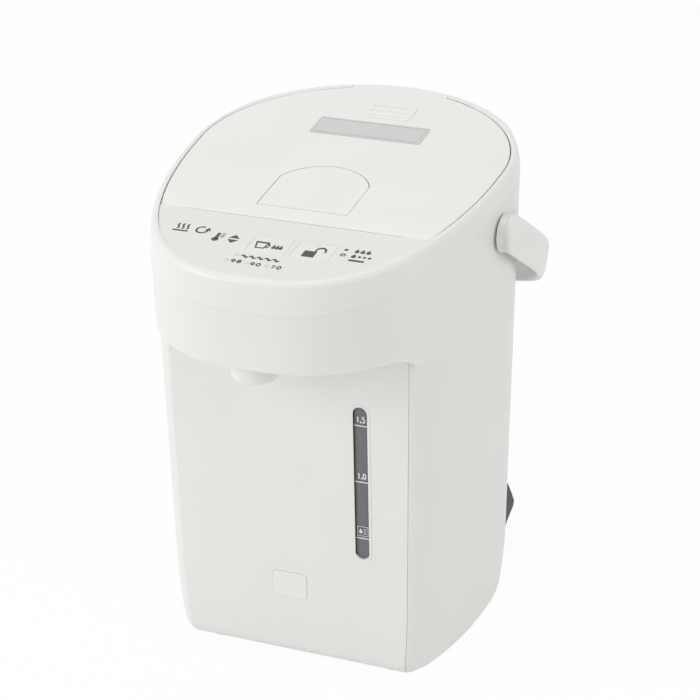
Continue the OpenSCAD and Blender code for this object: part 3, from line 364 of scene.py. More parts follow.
class Print:
    """A printed layer of strokes, patches and figures, drawn flat in millimetres."""

    depth = 0.05

    def __init__(self):
        self.mesh = bmesh.new()

    def prism(self, outline):
        """A patch with a given outline."""
        lower = [self.mesh.verts.new((x, y, -self.depth / 2)) for x, y in outline]
        upper = [self.mesh.verts.new((x, y, self.depth / 2)) for x, y in outline]
        self.mesh.faces.new(lower[::-1])
        self.mesh.faces.new(upper)
        for i in range(len(outline)):
            j = (i + 1) % len(outline)
            self.mesh.faces.new((lower[i], lower[j], upper[j], upper[i]))

    def stroke(self, path, width, closed=False):
        """A line of even width along a path."""
        n = len(path)
        sides = []
        for i in range(n):
            before = path[i - 1] if i or closed else path[i]
            after = path[(i + 1) % n] if i < n - 1 or closed else path[i]
            dx, dy = after[0] - before[0], after[1] - before[1]
            size = math.hypot(dx, dy) or 1
            nx, ny = -dy / size * width / 2, dx / size * width / 2
            x, y = path[i]
            sides.append([(x - nx, y - ny), (x + nx, y + ny)])
        levels = []
        for z in (-self.depth / 2, self.depth / 2):
            levels.append([[self.mesh.verts.new((x, y, z)) for x, y in s] for s in sides])
        low, top = levels
        for i in range(n if closed else n - 1):
            j = (i + 1) % n
            self.mesh.faces.new((top[i][0], top[j][0], top[j][1], top[i][1]))
            self.mesh.faces.new((low[i][1], low[j][1], low[j][0], low[i][0]))
            self.mesh.faces.new((low[i][0], low[j][0], top[j][0], top[i][0]))
            self.mesh.faces.new((top[i][1], top[j][1], low[j][1], low[i][1]))
        if not closed:
            self.mesh.faces.new((low[0][0], top[0][0], top[0][1], low[0][1]))
            self.mesh.faces.new((low[-1][1], top[-1][1], top[-1][0], low[-1][0]))

    def disc(self, x, y, r):
        """A round patch."""
        self.prism([(x + r * math.cos(a), y + r * math.sin(a)) for a in turns(24)])

    def ring(self, x, y, r, width):
        """A circle drawn with a line."""
        self.stroke([(x + r * math.cos(a), y + r * math.sin(a)) for a in turns(28)], width, True)

    def drop(self, x, y, size):
        """A water drop, its point upwards."""
        body = [(x + size * 0.5 * math.cos(a), y + size * 0.5 * math.sin(a))
                for a in [math.radians(d) for d in range(-220, 41, 13)]]
        self.prism(body + [(x, y + size * 1.05)])

    def figures(self, text, x, y, height, wide, weight):
        """Plain round figures, their lower left corner at x, y."""
        for mark in text:
            if mark == ".":
                self.disc(x + weight * 0.3, y + weight * 0.3, weight * 0.75)
                x += weight * 1.5
                continue
            for path, closed in FIGURES[mark]:
                self.stroke([(x + px * wide, y + py * height) for px, py in path], weight, closed)
            x += wide + weight * (1.75 if mark != "1" else 1.0)

    def put(self, name, place, material, body):
        """Lays the print on its surface and lets it ride on a body."""
        mesh = bpy.data.meshes.new(name)
        bmesh.ops.recalc_face_normals(self.mesh, faces=self.mesh.faces)
        self.mesh.to_mesh(mesh)
        self.mesh.free()
        mesh.transform(Matrix.Scale(0.001, 4))
        mesh.transform(place)
        mesh.materials.append(material)
        piece = add(name, mesh)
        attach(piece, body)


white_ink = moulded_plastic("white_ink", srgb(226, 226, 230), 0.5, relief=0.02)
marks = Print()
for level_z in (150.4, 117.8, 84.5):
    marks.stroke([(-3.65, level_z - WINDOW_Z), (3.65, level_z - WINDOW_Z)], 0.7)
marks.figures("1.5", -2.3, 152.3 - WINDOW_Z, 3.2, 1.35, 0.72)
marks.figures("1.0", -2.3, 119.7 - WINDOW_Z, 3.2, 1.35, 0.72)
# refill sign: a drop and three level lines in a frame
marks.stroke([(-2.9, -31.1), (2.9, -31.1), (2.9, -25.6), (-2.9, -25.6)], 0.45, True)
marks.drop(-1.1, -28.7, 1.9)
for y in (-27.2, -28.5, -29.8):
    marks.stroke([(0.5, y), (2.0, y)], 0.5)
marks.put("level_marks", front_place(WINDOW_X, WINDOW_Z, -0.88), white_ink, "pot")

# a dark lining inside the window's opening: painted shade for the recess shadow around the sunk
# window
painted_shade_lining = moulded_plastic("painted_shade_lining", srgb(52, 52, 56), 0.3)
wall = bmesh.new()
half_w, half_h = 3.82, 45.7  # of the opening, in millimetres
half_turn = [math.pi * i / 16 for i in range(17)]
rim = [(half_w * math.cos(a), half_h - half_w + half_w * math.sin(a) - UPPER_DOWN * 1000)
       for a in half_turn]
rim += [(-half_w * math.cos(a), -half_h + half_w - half_w * math.sin(a) + LOWER_UP * 1000)
        for a in half_turn]
near, far, wider = -0.05, -1.15, 1.05
rings = [[wall.verts.new((x * k, y + (k - 1) * y * half_w / half_h, z)) for x, y in rim]
         for k, z in ((1.0, near), (1.0, far), (wider, far), (wider, near))]
for i in range(len(rim)):
    j = (i + 1) % len(rim)
    for a, b in zip(rings, rings[1:] + rings[:1]):
        wall.faces.new((a[i], a[j], b[j], b[i]))
bmesh.ops.recalc_face_normals(wall, faces=wall.faces)
mesh = bpy.data.meshes.new("window_shade_lining")
wall.to_mesh(mesh)
wall.free()
mesh.transform(Matrix.Scale(0.001, 4))
mesh.transform(front_place(WINDOW_X, WINDOW_Z, 0))
# the lining's dark colour is painted shade, standing for the shadow in the recess around the window
mesh.materials.append(painted_shade_lining)
window_shade_lining = add("window_shade_lining", mesh)
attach(window_shade_lining, "pot")


# ---- Top ring and lid well ------------------------------------------------------
# The top ring is a satin white moulding that closes the shell. Under it the well
# holds the vessel's flange and catches drips from the lid.

# the planes of the shell's seam and of the rim: height at y 0 in millimetres, and slope
SEAM_Z, SEAM_SLOPE = 249.5, 0.18
RIM_Z, TOP_SLOPE = 259.9, 0.125
AT_SEAM = 0.0004
SEAM_CLOSE = 0.00024
# the rim's plan is half an oval behind its widest line, PLAN_Y, and full and narrowing ahead
PLAN_Y = 0.0222
PLAN_HALF, PLAN_FRONT, PLAN_REAR = 0.09, 0.139, 0.095
PLAN_POWER = 2.64
NARROWING, NARROW_SOFT = 0.104, 0.02
EDGE_FROM, EDGE_FADE = 0.95, 0.03
EDGE_LEAN = 0.019


def plane_z(z, slope, y):
    """Height in metres of a sloping plane, z being its height at y 0 in millimetres."""
    return z / 1000 + slope * y


def plan_share(x, y):
    """Where a point lies between the middle of the plan, 0, and its outline, 1."""
    rear = y - PLAN_Y
    if rear > 0:
        return math.hypot(x / PLAN_HALF, rear / PLAN_REAR)
    v = -rear / PLAN_FRONT
    half = PLAN_HALF * (1 - NARROWING * (math.sqrt(v * v + NARROW_SOFT) - math.sqrt(NARROW_SOFT)))
    return (v ** PLAN_POWER + (abs(x) / half) ** PLAN_POWER) ** (1 / PLAN_POWER)


def seated_ring(co):
    """Closes the fine seam over the shell and rounds the rim's outer edge further in."""
    low, rim = plane_z(SEAM_Z, SEAM_SLOPE, co.y), plane_z(RIM_Z, TOP_SLOPE, co.y)
    if abs(co.z - low) < AT_SEAM:
        return co - Vector((0, 0, SEAM_CLOSE))
    outer = min(1, max(0, (plan_share(co.x, co.y) - EDGE_FROM) / EDGE_FADE))
    upper = min(1, max(0, (co.z - low) / (rim - low)))
    lean = 1 - EDGE_LEAN * outer * upper ** 1.5
    return Vector((co.x * lean, DRAFT_Y + (co.y - DRAFT_Y) * lean, co.z))


ring_white = moulded_plastic("ring_white", srgb(233, 232, 228), 0.32)
moulding("top_ring", ring_white, ease=seated_ring)
inner_grey = moulded_plastic("inner_grey", srgb(222, 221, 217), 0.45)
moulding("lid_well", inner_grey)


# ---- Controls -------------------------------------------------------------------
# A printed film covers the sloping top in front of the lid. Two keys come up through
# it, and light guides carry the light of the lamps on the circuit board up to it.
film_white = moulded_plastic("film_white", srgb(229, 230, 225), 0.42)
key_white = moulded_plastic("key_white", srgb(231, 232, 228), 0.38)
lamp_grey = moulded_plastic("lamp_grey", srgb(214, 216, 210), 0.3)
board_green = moulded_plastic("board_green", srgb(40, 110, 62), 0.4, grain=0.001, relief=0.1)
DISPENSE_X, UNLOCK_X, KEY_Y = -0.001, 0.022, -0.0814
KEY_CLOSE = 0.0002


def widened(co, x, y, by):
    """Moves a point away from a middle, along x and along y."""
    return co + Vector((math.copysign(by, co.x - x), math.copysign(by, co.y - y), 0))


def snug_key(co):
    """Lets a key's cap fill its opening to a hair line."""
    middle = DISPENSE_X if co.x < (DISPENSE_X + UNLOCK_X) / 2 else UNLOCK_X
    return widened(co, middle, KEY_Y, KEY_CLOSE)


moulding("control_frame", inner_grey)
moulding("control_panel", film_white)
moulding("dispense_key", key_white, edge=0.00025, ease=snug_key)
moulding("unlock_key", key_white, edge=0.00025, ease=snug_key)
moulding("light_guides", lamp_grey)
fitted("control_board", board_green)

# how far the film, the keys and the tips of the light guides lie below the rim's plane, and
# how far a print stands above them, in millimetres
FILM_DROP = 0.5
KEY_DROP = 0.4
LAMP_DROP = 0.43
PROUD = 0.02
dark_ink = moulded_plastic("dark_ink", srgb(64, 64, 62), 0.5)
grey_ink = moulded_plastic("grey_ink", srgb(208, 209, 204), 0.5)


def top_place(x, y, drop, wide=1, tall=1):
    """Place of a print on the top, x, y and drop in millimetres, wide and tall stretching it."""
    z = RIM_Z + TOP_SLOPE * y - drop + PROUD
    tilt = Matrix.Rotation(math.atan(TOP_SLOPE), 4, "X")
    return Matrix.Translation(Vector((x, y, z)) / 1000) @ tilt @ Matrix.Diagonal((wide, tall, 1, 1))


def wave(x, y, height, swing):
    """Path of one rising wave of steam."""
    return [(x + swing * math.sin(2 * math.pi * i / 12), y + height * i / 12) for i in range(13)]


# boil again: steam over a heated bar, and a turning arrow
sign = Print()
for x in (-8.6, -6.0, -3.4):
    sign.stroke(wave(x, -1.5, 5.2, 0.55), 1.0)
sign.stroke([(-10.2, -3.2), (-1.8, -3.2)], 1.3)
sign.stroke(arc(4.8, 0.0, 3.0, 3.0, 75, 360), 1.15)
sign.prism([(6.0, -0.2), (9.6, -0.2), (7.8, 2.9)])
sign.put("boil_sign", top_place(-45.0, -75.3, FILM_DROP), dark_ink, "pot")

# keep warm: a thermometer between an upper and a lower arrow
sign = Print()
sign.disc(-4.6, -2.5, 1.9)
sign.stroke([(-4.6, -2.0), (-4.6, 3.9)], 1.8)
for y in (0.2, 1.8, 3.4):
    sign.stroke([(-2.9, y), (-1.1, y)], 0.75)
sign.prism([(1.4, 0.6), (7.4, 0.6), (4.4, 4.0)])
sign.prism([(1.4, -0.8), (4.4, -4.2), (7.4, -0.8)])
sign.put("warm_sign", top_place(-25.6, -79.6, FILM_DROP), dark_ink, "pot")

# dispense: a cup, and drops falling
sign = Print()
sign.stroke([(-8.4, 1.9), (-7.0, -2.9), (-1.8, -2.9), (-0.4, 1.9)], 1.15)
sign.stroke([(-9.0, 1.9), (0.2, 1.9)], 1.25)
sign.stroke(arc(-0.9, -0.5, 1.9, 1.6, 80, -90), 0.95)
for x in (4.0, 6.4, 8.8):
    sign.drop(x, -1.2, 2.5)
sign.put("dispense_sign", top_place(-1.7, -81.4, KEY_DROP, 0.8, 1.12), dark_ink, "dispense")

# unlock: a padlock with its shackle open
sign = Print()
sign.prism([(-7.0, -4.2), (1.4, -4.2), (1.4, 0.7), (-7.0, 0.7)])
sign.stroke([(0.2, 0.4), (0.2, 1.6)] + arc(3.4, 1.8, 3.2, 2.2, 178, 0) + [(6.6, 0.6)], 1.25)
sign.put("unlock_sign", top_place(23.0, -81.9, KEY_DROP, 0.76, 1.2), dark_ink, "unlock")
# and its small lamp, printed as a grey circle
sign = Print()
sign.ring(0, 0, 0.95, 0.25)
sign.put("unlock_lamp", top_place(22.3, -75.2, KEY_DROP), grey_ink, "unlock")

# flow: three drops beside a lamp, a drop and three dots beside a sun, and a bar below
sign = Print()
sign.disc(-0.2, 0.1, 0.95)
for x in (5.6, 8.6, 11.6):
    sign.drop(x, -0.5, 2.4)
for k in turns(8):
    sign.stroke([(0.6 * math.cos(k), -5.0 + 0.6 * math.sin(k)),
                 (1.7 * math.cos(k), -5.0 + 1.7 * math.sin(k))], 0.42)
sign.drop(5.6, -5.4, 2.4)
for x in (8.6, 11.2, 13.8):
    sign.disc(x, -5.0, 0.85)
sign.stroke([(4.4, -9.0), (12.4, -9.0)], 1.5)
sign.put("flow_sign", top_place(37.2, -75.4, LAMP_DROP), dark_ink, "pot")

# heating: a row of waves beside its lamp, and the three temperatures beside theirs
sign = Print()
for k in range(5):
    sign.stroke([(-9.8 + 4.1 * k + 3.3 * i / 8, 0.95 * math.sin(2 * math.pi * i / 8))
                 for i in range(9)], 1.15)
sign.put("heating_sign", top_place(-0.6, -94.1, FILM_DROP), dark_ink, "pot")
for figures, x, y in (("98", -13.9, -101.2), ("90", -3.5, -101.7), ("70", 7.4, -101.8)):
    sign = Print()
    sign.figures(figures, 0.5, 0.4, 2.6, 1.75, 0.8)
    sign.put("temperature_" + figures, top_place(x, y, FILM_DROP), dark_ink, "pot")


# ---- Water path -----------------------------------------------------------------
# Hot water rises from the pump through a hose, a clear level tube and a tip valve,
# and runs down to the nozzle. The tubes are silicone and clear plastic.
def adjust(material, values):
    """Sets further inputs of a material's shader."""
    shader = material.node_tree.nodes["Principled BSDF"]
    for name, value in values.items():
        shader.inputs[name].default_value = value


nozzle_white = moulded_plastic("nozzle_white", srgb(232, 231, 228), 0.34)
silicone = moulded_plastic("silicone", srgb(222, 222, 214), 0.5, grain=0.002, relief=0.02)
adjust(silicone, {"Subsurface Weight": 0.15, "Subsurface Scale": 0.002})
clear_tube = moulded_plastic("clear_tube", srgb(226, 236, 240), 0.08, grain=0.004, relief=0.01)
adjust(clear_tube, {"Transmission Weight": 0.9, "IOR": 1.45})
moulding("nozzle", nozzle_white)
for name in ("outlet_pipe", "discharge_hose", "suction_hose"):
    fitted(name, silicone)
fitted("level_tube", clear_tube)
for name in ("valve_body", "pump_cover", "pump_housing", "impeller"):
    fitted(name, inner_grey)


# ---- Metal parts of the pump, vessel and heater ---------------------------------
# The vessel is drawn stainless steel, clamped under the well and heated from below.
# Its bracket, heater plate, motor can and pins are satin steel.
def brushed_metal(name, colour, roughness, stretch=(1, 1, 1)):
    """Satin metal, its fine brushing finer along an axis the more it is stretched there."""
    material = plain_surface(name, 0.001, 0.03, metal=1.0)[0]
    tree = material.node_tree
    clouded(tree, colour)
    shine(tree, noise(tree, 600, 3, stretch), roughness - 0.07, roughness + 0.1)
    return material


vessel_steel = brushed_metal("vessel_steel", srgb(200, 201, 203), 0.28, (1, 1, 0.03))
satin_steel = brushed_metal("satin_steel", srgb(190, 191, 194), 0.35)
bright_steel = brushed_metal("bright_steel", srgb(208, 209, 212), 0.15)
foil = brushed_metal("foil", srgb(205, 208, 212), 0.3)
dark_magnet = brushed_metal("dark_magnet", srgb(70, 70, 74), 0.45)
fitted("inner_vessel", vessel_steel)
fitted("vessel_seal", silicone)
fitted("insulation_wrap", foil)
for name in ("heater_plate", "vessel_bracket", "pump_motor"):
    fitted(name, satin_steel)
fitted("valve_ball", bright_steel)
fitted("drive_magnet", dark_magnet)
fitted("temperature_sensor", dark_magnet)
fuse_cream = moulded_plastic("fuse_cream", srgb(226, 216, 182), 0.5)
fitted("thermal_fuse", fuse_cream)


# ---- Base, feet and power board -------------------------------------------------
# The base cover is a plain grey-white moulding held by four screws. Rubber feet are
# pushed into it, and it carries the pump motor, the vessel's posts and the board.
base_white = moulded_plastic("base_white", srgb(214, 212, 207), 0.5, grain=0.0008, relief=0.12)
foot_rubber = moulded_plastic("foot_rubber", srgb(222, 220, 215), 0.75, grain=0.0006, relief=0.2)
FEET = ((-0.0525, -0.0525), (0.0525, -0.0525), (-0.047, 0.069), (0.006, 0.084))
# a foot's width at the table, and what it gains up to FOOT_HIGH, as shares of the solid's
FOOT_SHARE = 0.62
FOOT_TAPER = 0.1
FOOT_HIGH = 0.0022


def tapered_foot(co):
    """Draws each foot in to a small button, narrower at the table."""
    x, y = min(FEET, key=lambda f: math.hypot(co.x - f[0], co.y - f[1]))
    share = FOOT_SHARE + FOOT_TAPER * min(1, co.z / FOOT_HIGH)
    return tuck(Vector((x + (co.x - x) * share, y + (co.y - y) * share, co.z)))


moulding("base_cover", base_white, ease=tuck, cuts=tuck_cuts)
moulding("feet", foot_rubber, edge=0.0003, ease=tapered_foot)
moulding("base_screws", satin_steel, ease=tuck)
moulding("power_board", board_green, ease=tuck)


# ---- Power inlet ----------------------------------------------------------------
# A black nylon hood stands out at the rear. Two plated pins in it meet the magnetic
# plug of the power cord, which the steel plates beside the pins hold.
inlet_black = moulded_plastic("inlet_black", srgb(12, 15, 19), 0.42, grain=0.0005, relief=0.1)
adjust(inlet_black, {"Specular IOR Level": 0.22})
plated_brass = brushed_metal("plated_brass", srgb(214, 190, 130), 0.25)
moulding("inlet_hood", inlet_black, edge=0.0012, ease=tuck, cuts=tuck_cuts)
moulding("inlet_contacts", plated_brass, edge=0.0003, ease=tuck)
moulding("inlet_magnets", bright_steel, ease=tuck)


# ---- Lid ------------------------------------------------------------------------
# The lid is a smooth warm white skin over a plain base plate. Below it a steel inner
# lid with a silicone gasket closes the vessel, and a slotted cap lets the steam out.
LID_FRONT = -0.0559
SKIN = 0.0004
FRONT_WALL = 0.0008
FRONT_DEEP = 0.004
ROLL_LEN = 0.012
ROLL_DOWN = 0.00105
ROLL_CUTS = (0.0009, 0.002, 0.0035, 0.005, 0.007, 0.0095, ROLL_LEN)
FRONT_CLOSE = 0.0003
CAP_X, CAP_Y = 3.4, 69.5
CAP_INNER = (0.0122, 0.0072)
CAP_CLOSE = 0.00015


def front_roll(co):
    """Rolls the lid's front edge down to the panel and closes its gap to a hair line."""
    rim = plane_z(RIM_Z, TOP_SLOPE, co.y)
    y, z = co.y, co.z
    if y < LID_FRONT + ROLL_LEN and z > rim - SKIN:
        t = min(1, (LID_FRONT + ROLL_LEN - y) / ROLL_LEN)
        z -= ROLL_DOWN * t * t
    if y < LID_FRONT + FRONT_WALL and z > rim - FRONT_DEEP:
        y -= FRONT_CLOSE
    return Vector((co.x, y, z))


def snug_cap(co):
    """Lets the steam cap fill its opening to a hair line."""
    x, y = CAP_X / 1000, CAP_Y / 1000
    if abs(co.x - x) > CAP_INNER[0] or abs(co.y - y) > CAP_INNER[1]:
        return widened(co, x, y, CAP_CLOSE)
    return co


lid_white = moulded_plastic("lid_white", srgb(237, 235, 231), 0.3)
cap_white = moulded_plastic("cap_white", srgb(238, 236, 232), 0.3)
gasket_white = moulded_plastic("gasket_white", srgb(216, 217, 214), 0.6, grain=0.001)
moulding("lid_cover", lid_white, ease=front_roll, cuts=[("y", LID_FRONT + k) for k in ROLL_CUTS])
moulding("lid_base", inner_grey)
fitted("inner_lid", vessel_steel)
fitted("lid_gasket", gasket_white)
moulding("steam_cap", cap_white, edge=0.0001, ease=snug_cap)

# the baffle under the three slots turns the steam, so no slot shows an open hole
baffle = Print()
baffle.depth = 0.5
SLOT_X, SLOT_Y = 9.9, 0.84  # half a slot's length and width
for y in (-5.4, 0, 5.4):
    baffle.prism([(-SLOT_X, y - SLOT_Y), (SLOT_X, y - SLOT_Y), (SLOT_X, y + SLOT_Y),
                  (-SLOT_X, y + SLOT_Y)])
baffle.put("steam_baffle", top_place(CAP_X, CAP_Y, -0.28), cap_white, "lid")

# the plate is bare silver film, with a thin pressed border
label_silver = brushed_metal("label_silver", srgb(203, 202, 201), 0.5, (1, 14, 1))
adjust(label_silver, {"Metallic": 0.35})
moulding("data_plate", label_silver)
BORDER_X, BORDER_Y = 29.75, 7.8
border = Print()
border.stroke([(-BORDER_X, -BORDER_Y), (BORDER_X, -BORDER_Y), (BORDER_X, BORDER_Y),
               (-BORDER_X, BORDER_Y)], 0.28, True)
plate_grey = moulded_plastic("plate_grey", srgb(150, 151, 152), 0.5, relief=0.02)
border.put("plate_border", top_place(2, 46, -1.11), plate_grey, "lid")


# ---- Release lever and latch ----------------------------------------------------
# The lever lies flush in the lid and turns on a steel pin under a small spring.
# Its arm draws the flat steel latch back out of the well's front wall.

# the lever's own middle; its plate lies above PLATE_Z, with straight sides beyond SIDE_FROM
# up to ARC_FROM and an arc about ARC_Y behind them
LEVER_X = 0.0006
PLATE_Z, SIDE_FROM = 0.2, 0.021
ARC_FROM, ARC_Y = -0.014, -0.0233
SIDE_CLOSE, ARC_CLOSE = 0.00022, 0.0002


def snug_lever(co):
    """Lets the lever fill its opening to a hair line, at its sides and its rear arc."""
    x, y = co.x - LEVER_X, co.y - ARC_Y
    if co.y > ARC_FROM:
        return co + Vector((x, y, 0)) * (ARC_CLOSE / math.hypot(x, y))
    if co.y < ARC_FROM and co.z > PLATE_Z and abs(x) > SIDE_FROM:
        return co + Vector((math.copysign(SIDE_CLOSE, x), 0, 0))
    return co


moulding("lid_lever", lid_white, edge=0.0001, ease=snug_lever)
fitted("lever_pin", satin_steel)
fitted("lever_spring", bright_steel)
fitted("lid_latch", satin_steel)


# ---- Hinge ----------------------------------------------------------------------
# Two ears on a white bracket carry a steel pin at the rear of the well. The lid's
# knuckle turns on it under the tab that reaches back over the ring.
moulding("hinge_bracket", warm_white)
fitted("hinge_pin", satin_steel)


# ---- Handle ---------------------------------------------------------------------
# The bail handle is a bowed strap in the shell's white plastic, crowned outside and
# rounded along its edges. A boss on each eye fills the space to the shell's wall.

# the pins' middle, how far the bow hangs down behind it, half its width, its reach and
# how square it is; the strap's section; the bosses and the pins' bores
PIVOT = Vector((0, 0.006, 0.235))
BAIL_ANGLE = math.radians(31)
BAIL_HALF = 0.098
BAIL_LEN = 0.1239
BAIL_POWER = 4.1
STRAP_W, STRAP_T = 0.0206, 0.0048
BOSS_R, BOSS_FROM, BOSS_TO = 0.0098, 0.09, 0.0955
BORE_R, BORE_FROM, BORE_TO = 0.00406, 0.088, 0.09745


def rounded(angle, power):
    """Cosine and sine of an angle, for a circle drawn out towards a square by power."""
    c, s = math.cos(angle), math.sin(angle)
    return (math.copysign(abs(c) ** (2 / power), c), math.copysign(abs(s) ** (2 / power), s))


# middle line of the bow from one eye to the other, in even steps
FINE, STEPS = 800, 96
bow = []
for i in range(FINE + 1):
    c, s = rounded(math.pi * i / FINE, BAIL_POWER)
    bow.append(Vector((c * (BAIL_HALF - STRAP_T / 2), s * (BAIL_LEN - STRAP_T / 2))))
run = [0.0]
for a, b in zip(bow, bow[1:]):
    run.append(run[-1] + (b - a).length)
line, k = [], 0
for i in range(STEPS + 1):
    want = run[-1] * i / STEPS
    while k < len(run) - 2 and run[k + 1] < want:
        k += 1
    line.append(bow[k].lerp(bow[k + 1], (want - run[k]) / (run[k + 1] - run[k])))

# round eye before the first and after the last point; each stop has its share of the width
eye = [math.radians(a) for a in (84, 76, 67, 57, 46, 34, 22, 11)]
stops = [(line[0] - Vector((0, STRAP_W / 2 * math.sin(a))), math.cos(a)) for a in eye]
stops += [(p, 1.0) for p in line]
stops += [(line[-1] - Vector((0, STRAP_W / 2 * math.sin(a))), math.cos(a)) for a in reversed(eye)]

# the strap's section is broad and crowned, and thins where an eye's edge rounds off
AROUND = 32
SIDE_POWER, CROWN_POWER = 4.2, 2.7
EYE_ROUND, EYE_THIN = 0.16, 0.3
strap = bmesh.new()
rings = []
for i, (p, wide) in enumerate(stops):
    along = (stops[min(i + 1, len(stops) - 1)][0] - stops[max(i - 1, 0)][0]).normalized()
    out = Vector((along.y, -along.x))
    if out.dot(p) < 0:
        out = -out
    inside = min(1, (1 - math.sqrt(1 - wide ** 2)) / EYE_ROUND)
    thick = max(EYE_THIN, math.sqrt(1 - (1 - inside) ** 2))
    ring = []
    for angle in turns(AROUND):
        across = rounded(angle, SIDE_POWER)[0] * STRAP_W / 2 * wide
        depth = rounded(angle, CROWN_POWER)[1] * STRAP_T / 2 * thick
        ring.append(strap.verts.new((p.x + out.x * depth, p.y + out.y * depth, across)))
    rings.append(ring)
for a, b in zip(rings, rings[1:]):
    for j in range(AROUND):
        m = (j + 1) % AROUND
        strap.faces.new((a[j], a[m], b[m], b[j]))
strap.faces.new(rings[0][::-1])
strap.faces.new(rings[-1])
bmesh.ops.recalc_face_normals(strap, faces=strap.faces)
mesh = bpy.data.meshes.new("bail_handle")
strap.to_mesh(mesh)
strap.free()
mesh.transform(Matrix.Translation(PIVOT) @ Matrix.Rotation(-BAIL_ANGLE, 4, "X"))
bail = add("bail_handle_form", mesh)


def round_bar(name, r, x0, x1):
    """A bar along the pivot, on both sides, to join to the strap or to bore it with."""
    bar = bmesh.new()
    for side in (-1, 1):
        made = bmesh.ops.create_cone(bar, cap_ends=True, segments=64, radius1=r, radius2=r,
                                     depth=x1 - x0)
        place = Matrix.Translation(PIVOT + Vector((side * (x0 + x1) / 2, 0, 0)))
        bmesh.ops.transform(bar, verts=made["verts"],
                            matrix=place @ Matrix.Rotation(math.pi / 2, 4, "Y"))
    form = bpy.data.meshes.new(name)
    bar.to_mesh(form)
    bar.free()
    return add(name, form)


tools = []
for name, how, r, x0, x1 in (("eye_boss", "UNION", BOSS_R, BOSS_FROM, BOSS_TO),
                             ("pin_bore", "DIFFERENCE", BORE_R, BORE_FROM, BORE_TO)):
    join = bail.modifiers.new(name, "BOOLEAN")
    join.operation = how
    join.object = round_bar(name, r, x0, x1)
    tools.append(join.object)
bpy.context.view_layer.update()
mesh = bpy.data.meshes.new_from_object(bail.evaluated_get(bpy.context.evaluated_depsgraph_get()))
for tool in tools + [bail]:
    bpy.data.objects.remove(tool)
HANDLE_CREASE = math.radians(38)
work = bmesh.new()
work.from_mesh(mesh)
for face in work.faces:
    face.smooth = True
for seam in work.edges:
    seam.smooth = seam.is_manifold and seam.calc_face_angle() < HANDLE_CREASE
work.to_mesh(mesh)
work.free()
handle_white = moulded_plastic("handle_white", srgb(232, 231, 228), 0.32)
mesh.materials.clear()
mesh.materials.append(handle_white)
handle = add("bail_handle", mesh)
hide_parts("handle")
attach(handle, body_of["handle"])
moulding("handle_pins", inner_grey)


# ---- Table, light and camera ----------------------------------------------------
# The pot stands on a plain white table in soft daylight from above and the left.
# The backdrop is white wherever the camera, a reflection or clear plastic sees it.
floor_mesh = bpy.data.meshes.new("table_top")
floor_mesh.from_pydata([(-4, -4, 0), (4, -4, 0), (4, 4, 0), (-4, 4, 0)], [], [(0, 1, 2, 3)])
floor = add("table_top", floor_mesh)


def highest(tree, first, second):
    """Gives the larger of two values."""
    node = tree.nodes.new("ShaderNodeMath")
    node.operation = "MAXIMUM"
    tree.links.new(first, node.inputs[0])
    tree.links.new(second, node.inputs[1])
    return node.outputs[0]


def blend(tree, share, first, second, surface):
    """Shows the second shader over the first by a share, on a material's or world's surface."""
    mix = tree.nodes.new("ShaderNodeMixShader")
    tree.links.new(share, mix.inputs["Fac"])
    tree.links.new(first.outputs[0], mix.inputs[1])
    tree.links.new(second.outputs[0], mix.inputs[2])
    tree.links.new(mix.outputs[0], surface.inputs["Surface"])


def light_node(tree, kind, grey, strength=None):
    """A shader node of one grey, and of one strength where it gives light."""
    node = tree.nodes.new(kind)
    node.inputs["Color"].default_value = (grey, grey, grey, 1)
    if strength is not None:
        node.inputs["Strength"].default_value = strength
    return node


# white paint, shown to the camera and to reflections almost as the backdrop is
FLOOR_LIFT = 0.96
table_white = bpy.data.materials.new("table_white")
table_white.use_nodes = True
tree = table_white.node_tree
tree.nodes.clear()
rays = tree.nodes.new("ShaderNodeLightPath").outputs
lift = tree.nodes.new("ShaderNodeMath")
lift.operation = "MULTIPLY"
lift.inputs[1].default_value = FLOOR_LIFT
tree.links.new(highest(tree, rays["Is Camera Ray"], rays["Is Glossy Ray"]), lift.inputs[0])
blend(tree, lift.outputs[0], light_node(tree, "ShaderNodeBsdfDiffuse", 0.93),
      light_node(tree, "ShaderNodeEmission", 1.0, 1.0), tree.nodes.new("ShaderNodeOutputMaterial"))
floor_mesh.materials.append(table_white)

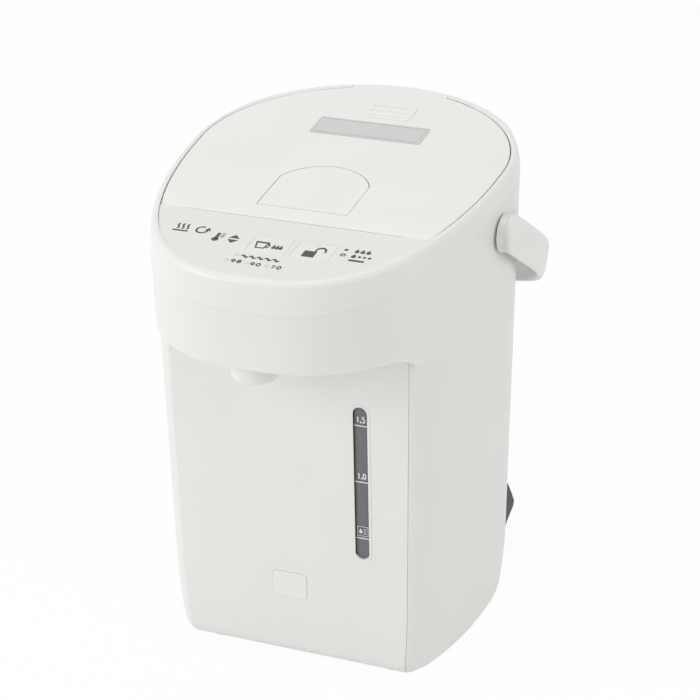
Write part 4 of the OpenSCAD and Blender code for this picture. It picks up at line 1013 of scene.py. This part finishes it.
AMBIENT = 0.49
world = bpy.data.worlds.new("white_room")
bpy.context.scene.world = world
world.use_nodes = True
tree = world.node_tree
tree.nodes.clear()
rays = tree.nodes.new("ShaderNodeLightPath").outputs
direct = highest(tree, rays["Is Camera Ray"], rays["Is Glossy Ray"])
blend(tree, highest(tree, direct, rays["Is Transmission Ray"]),
      light_node(tree, "ShaderNodeBackground", 1.0, AMBIENT),
      light_node(tree, "ShaderNodeBackground", 1.0, 1.0), tree.nodes.new("ShaderNodeOutputWorld"))

AIM = Vector((0, 0, 0.13))


def soft_box(name, place, size, power):
    """A square soft box at a place, turned towards the pot."""
    lamp = bpy.data.lights.new(name, "AREA")
    lamp.shape = "SQUARE"
    lamp.size = size
    lamp.energy = power
    piece = add(name, lamp)
    piece.location = place
    piece.rotation_euler = (AIM - Vector(place)).to_track_quat("-Z", "Y").to_euler()


soft_box("left_window", (-1.3, -1.2, 0.75), 1.3, 14.6)
soft_box("top_light", (-0.1, 0.1, 1.7), 1.4, 7.4)
soft_box("right_fill", (1.5, -0.5, 0.9), 1.3, 7)

# focal length in widths of the picture; then where the camera looks, from how far, and how
FOCAL = 2237.1 / 700
AZIMUTH, ELEVATION, ROLL = math.radians(22.182), math.radians(25.132), math.radians(-0.971)
TARGET = Vector((0.015852, -0.021, 0.168972))
DISTANCE = 1.17314
view = bpy.data.cameras.new("camera")
view.sensor_width = 36
view.lens = FOCAL * view.sensor_width
view.clip_start = 0.05
back = Vector((math.sin(AZIMUTH) * math.cos(ELEVATION), -math.cos(AZIMUTH) * math.cos(ELEVATION),
               math.sin(ELEVATION)))
right = (-back).cross(Vector((0, 0, 1))).normalized()
up = right.cross(-back)
level_right = right * math.cos(ROLL) + up * math.sin(ROLL)
level_up = up * math.cos(ROLL) - right * math.sin(ROLL)
turned = Matrix((level_right, level_up, back)).transposed().to_4x4()
camera = add("camera", view)
camera.matrix_world = Matrix.Translation(TARGET + back * DISTANCE) @ turned
bpy.context.scene.camera = camera
bpy.context.scene.view_settings.view_transform = "Standard"
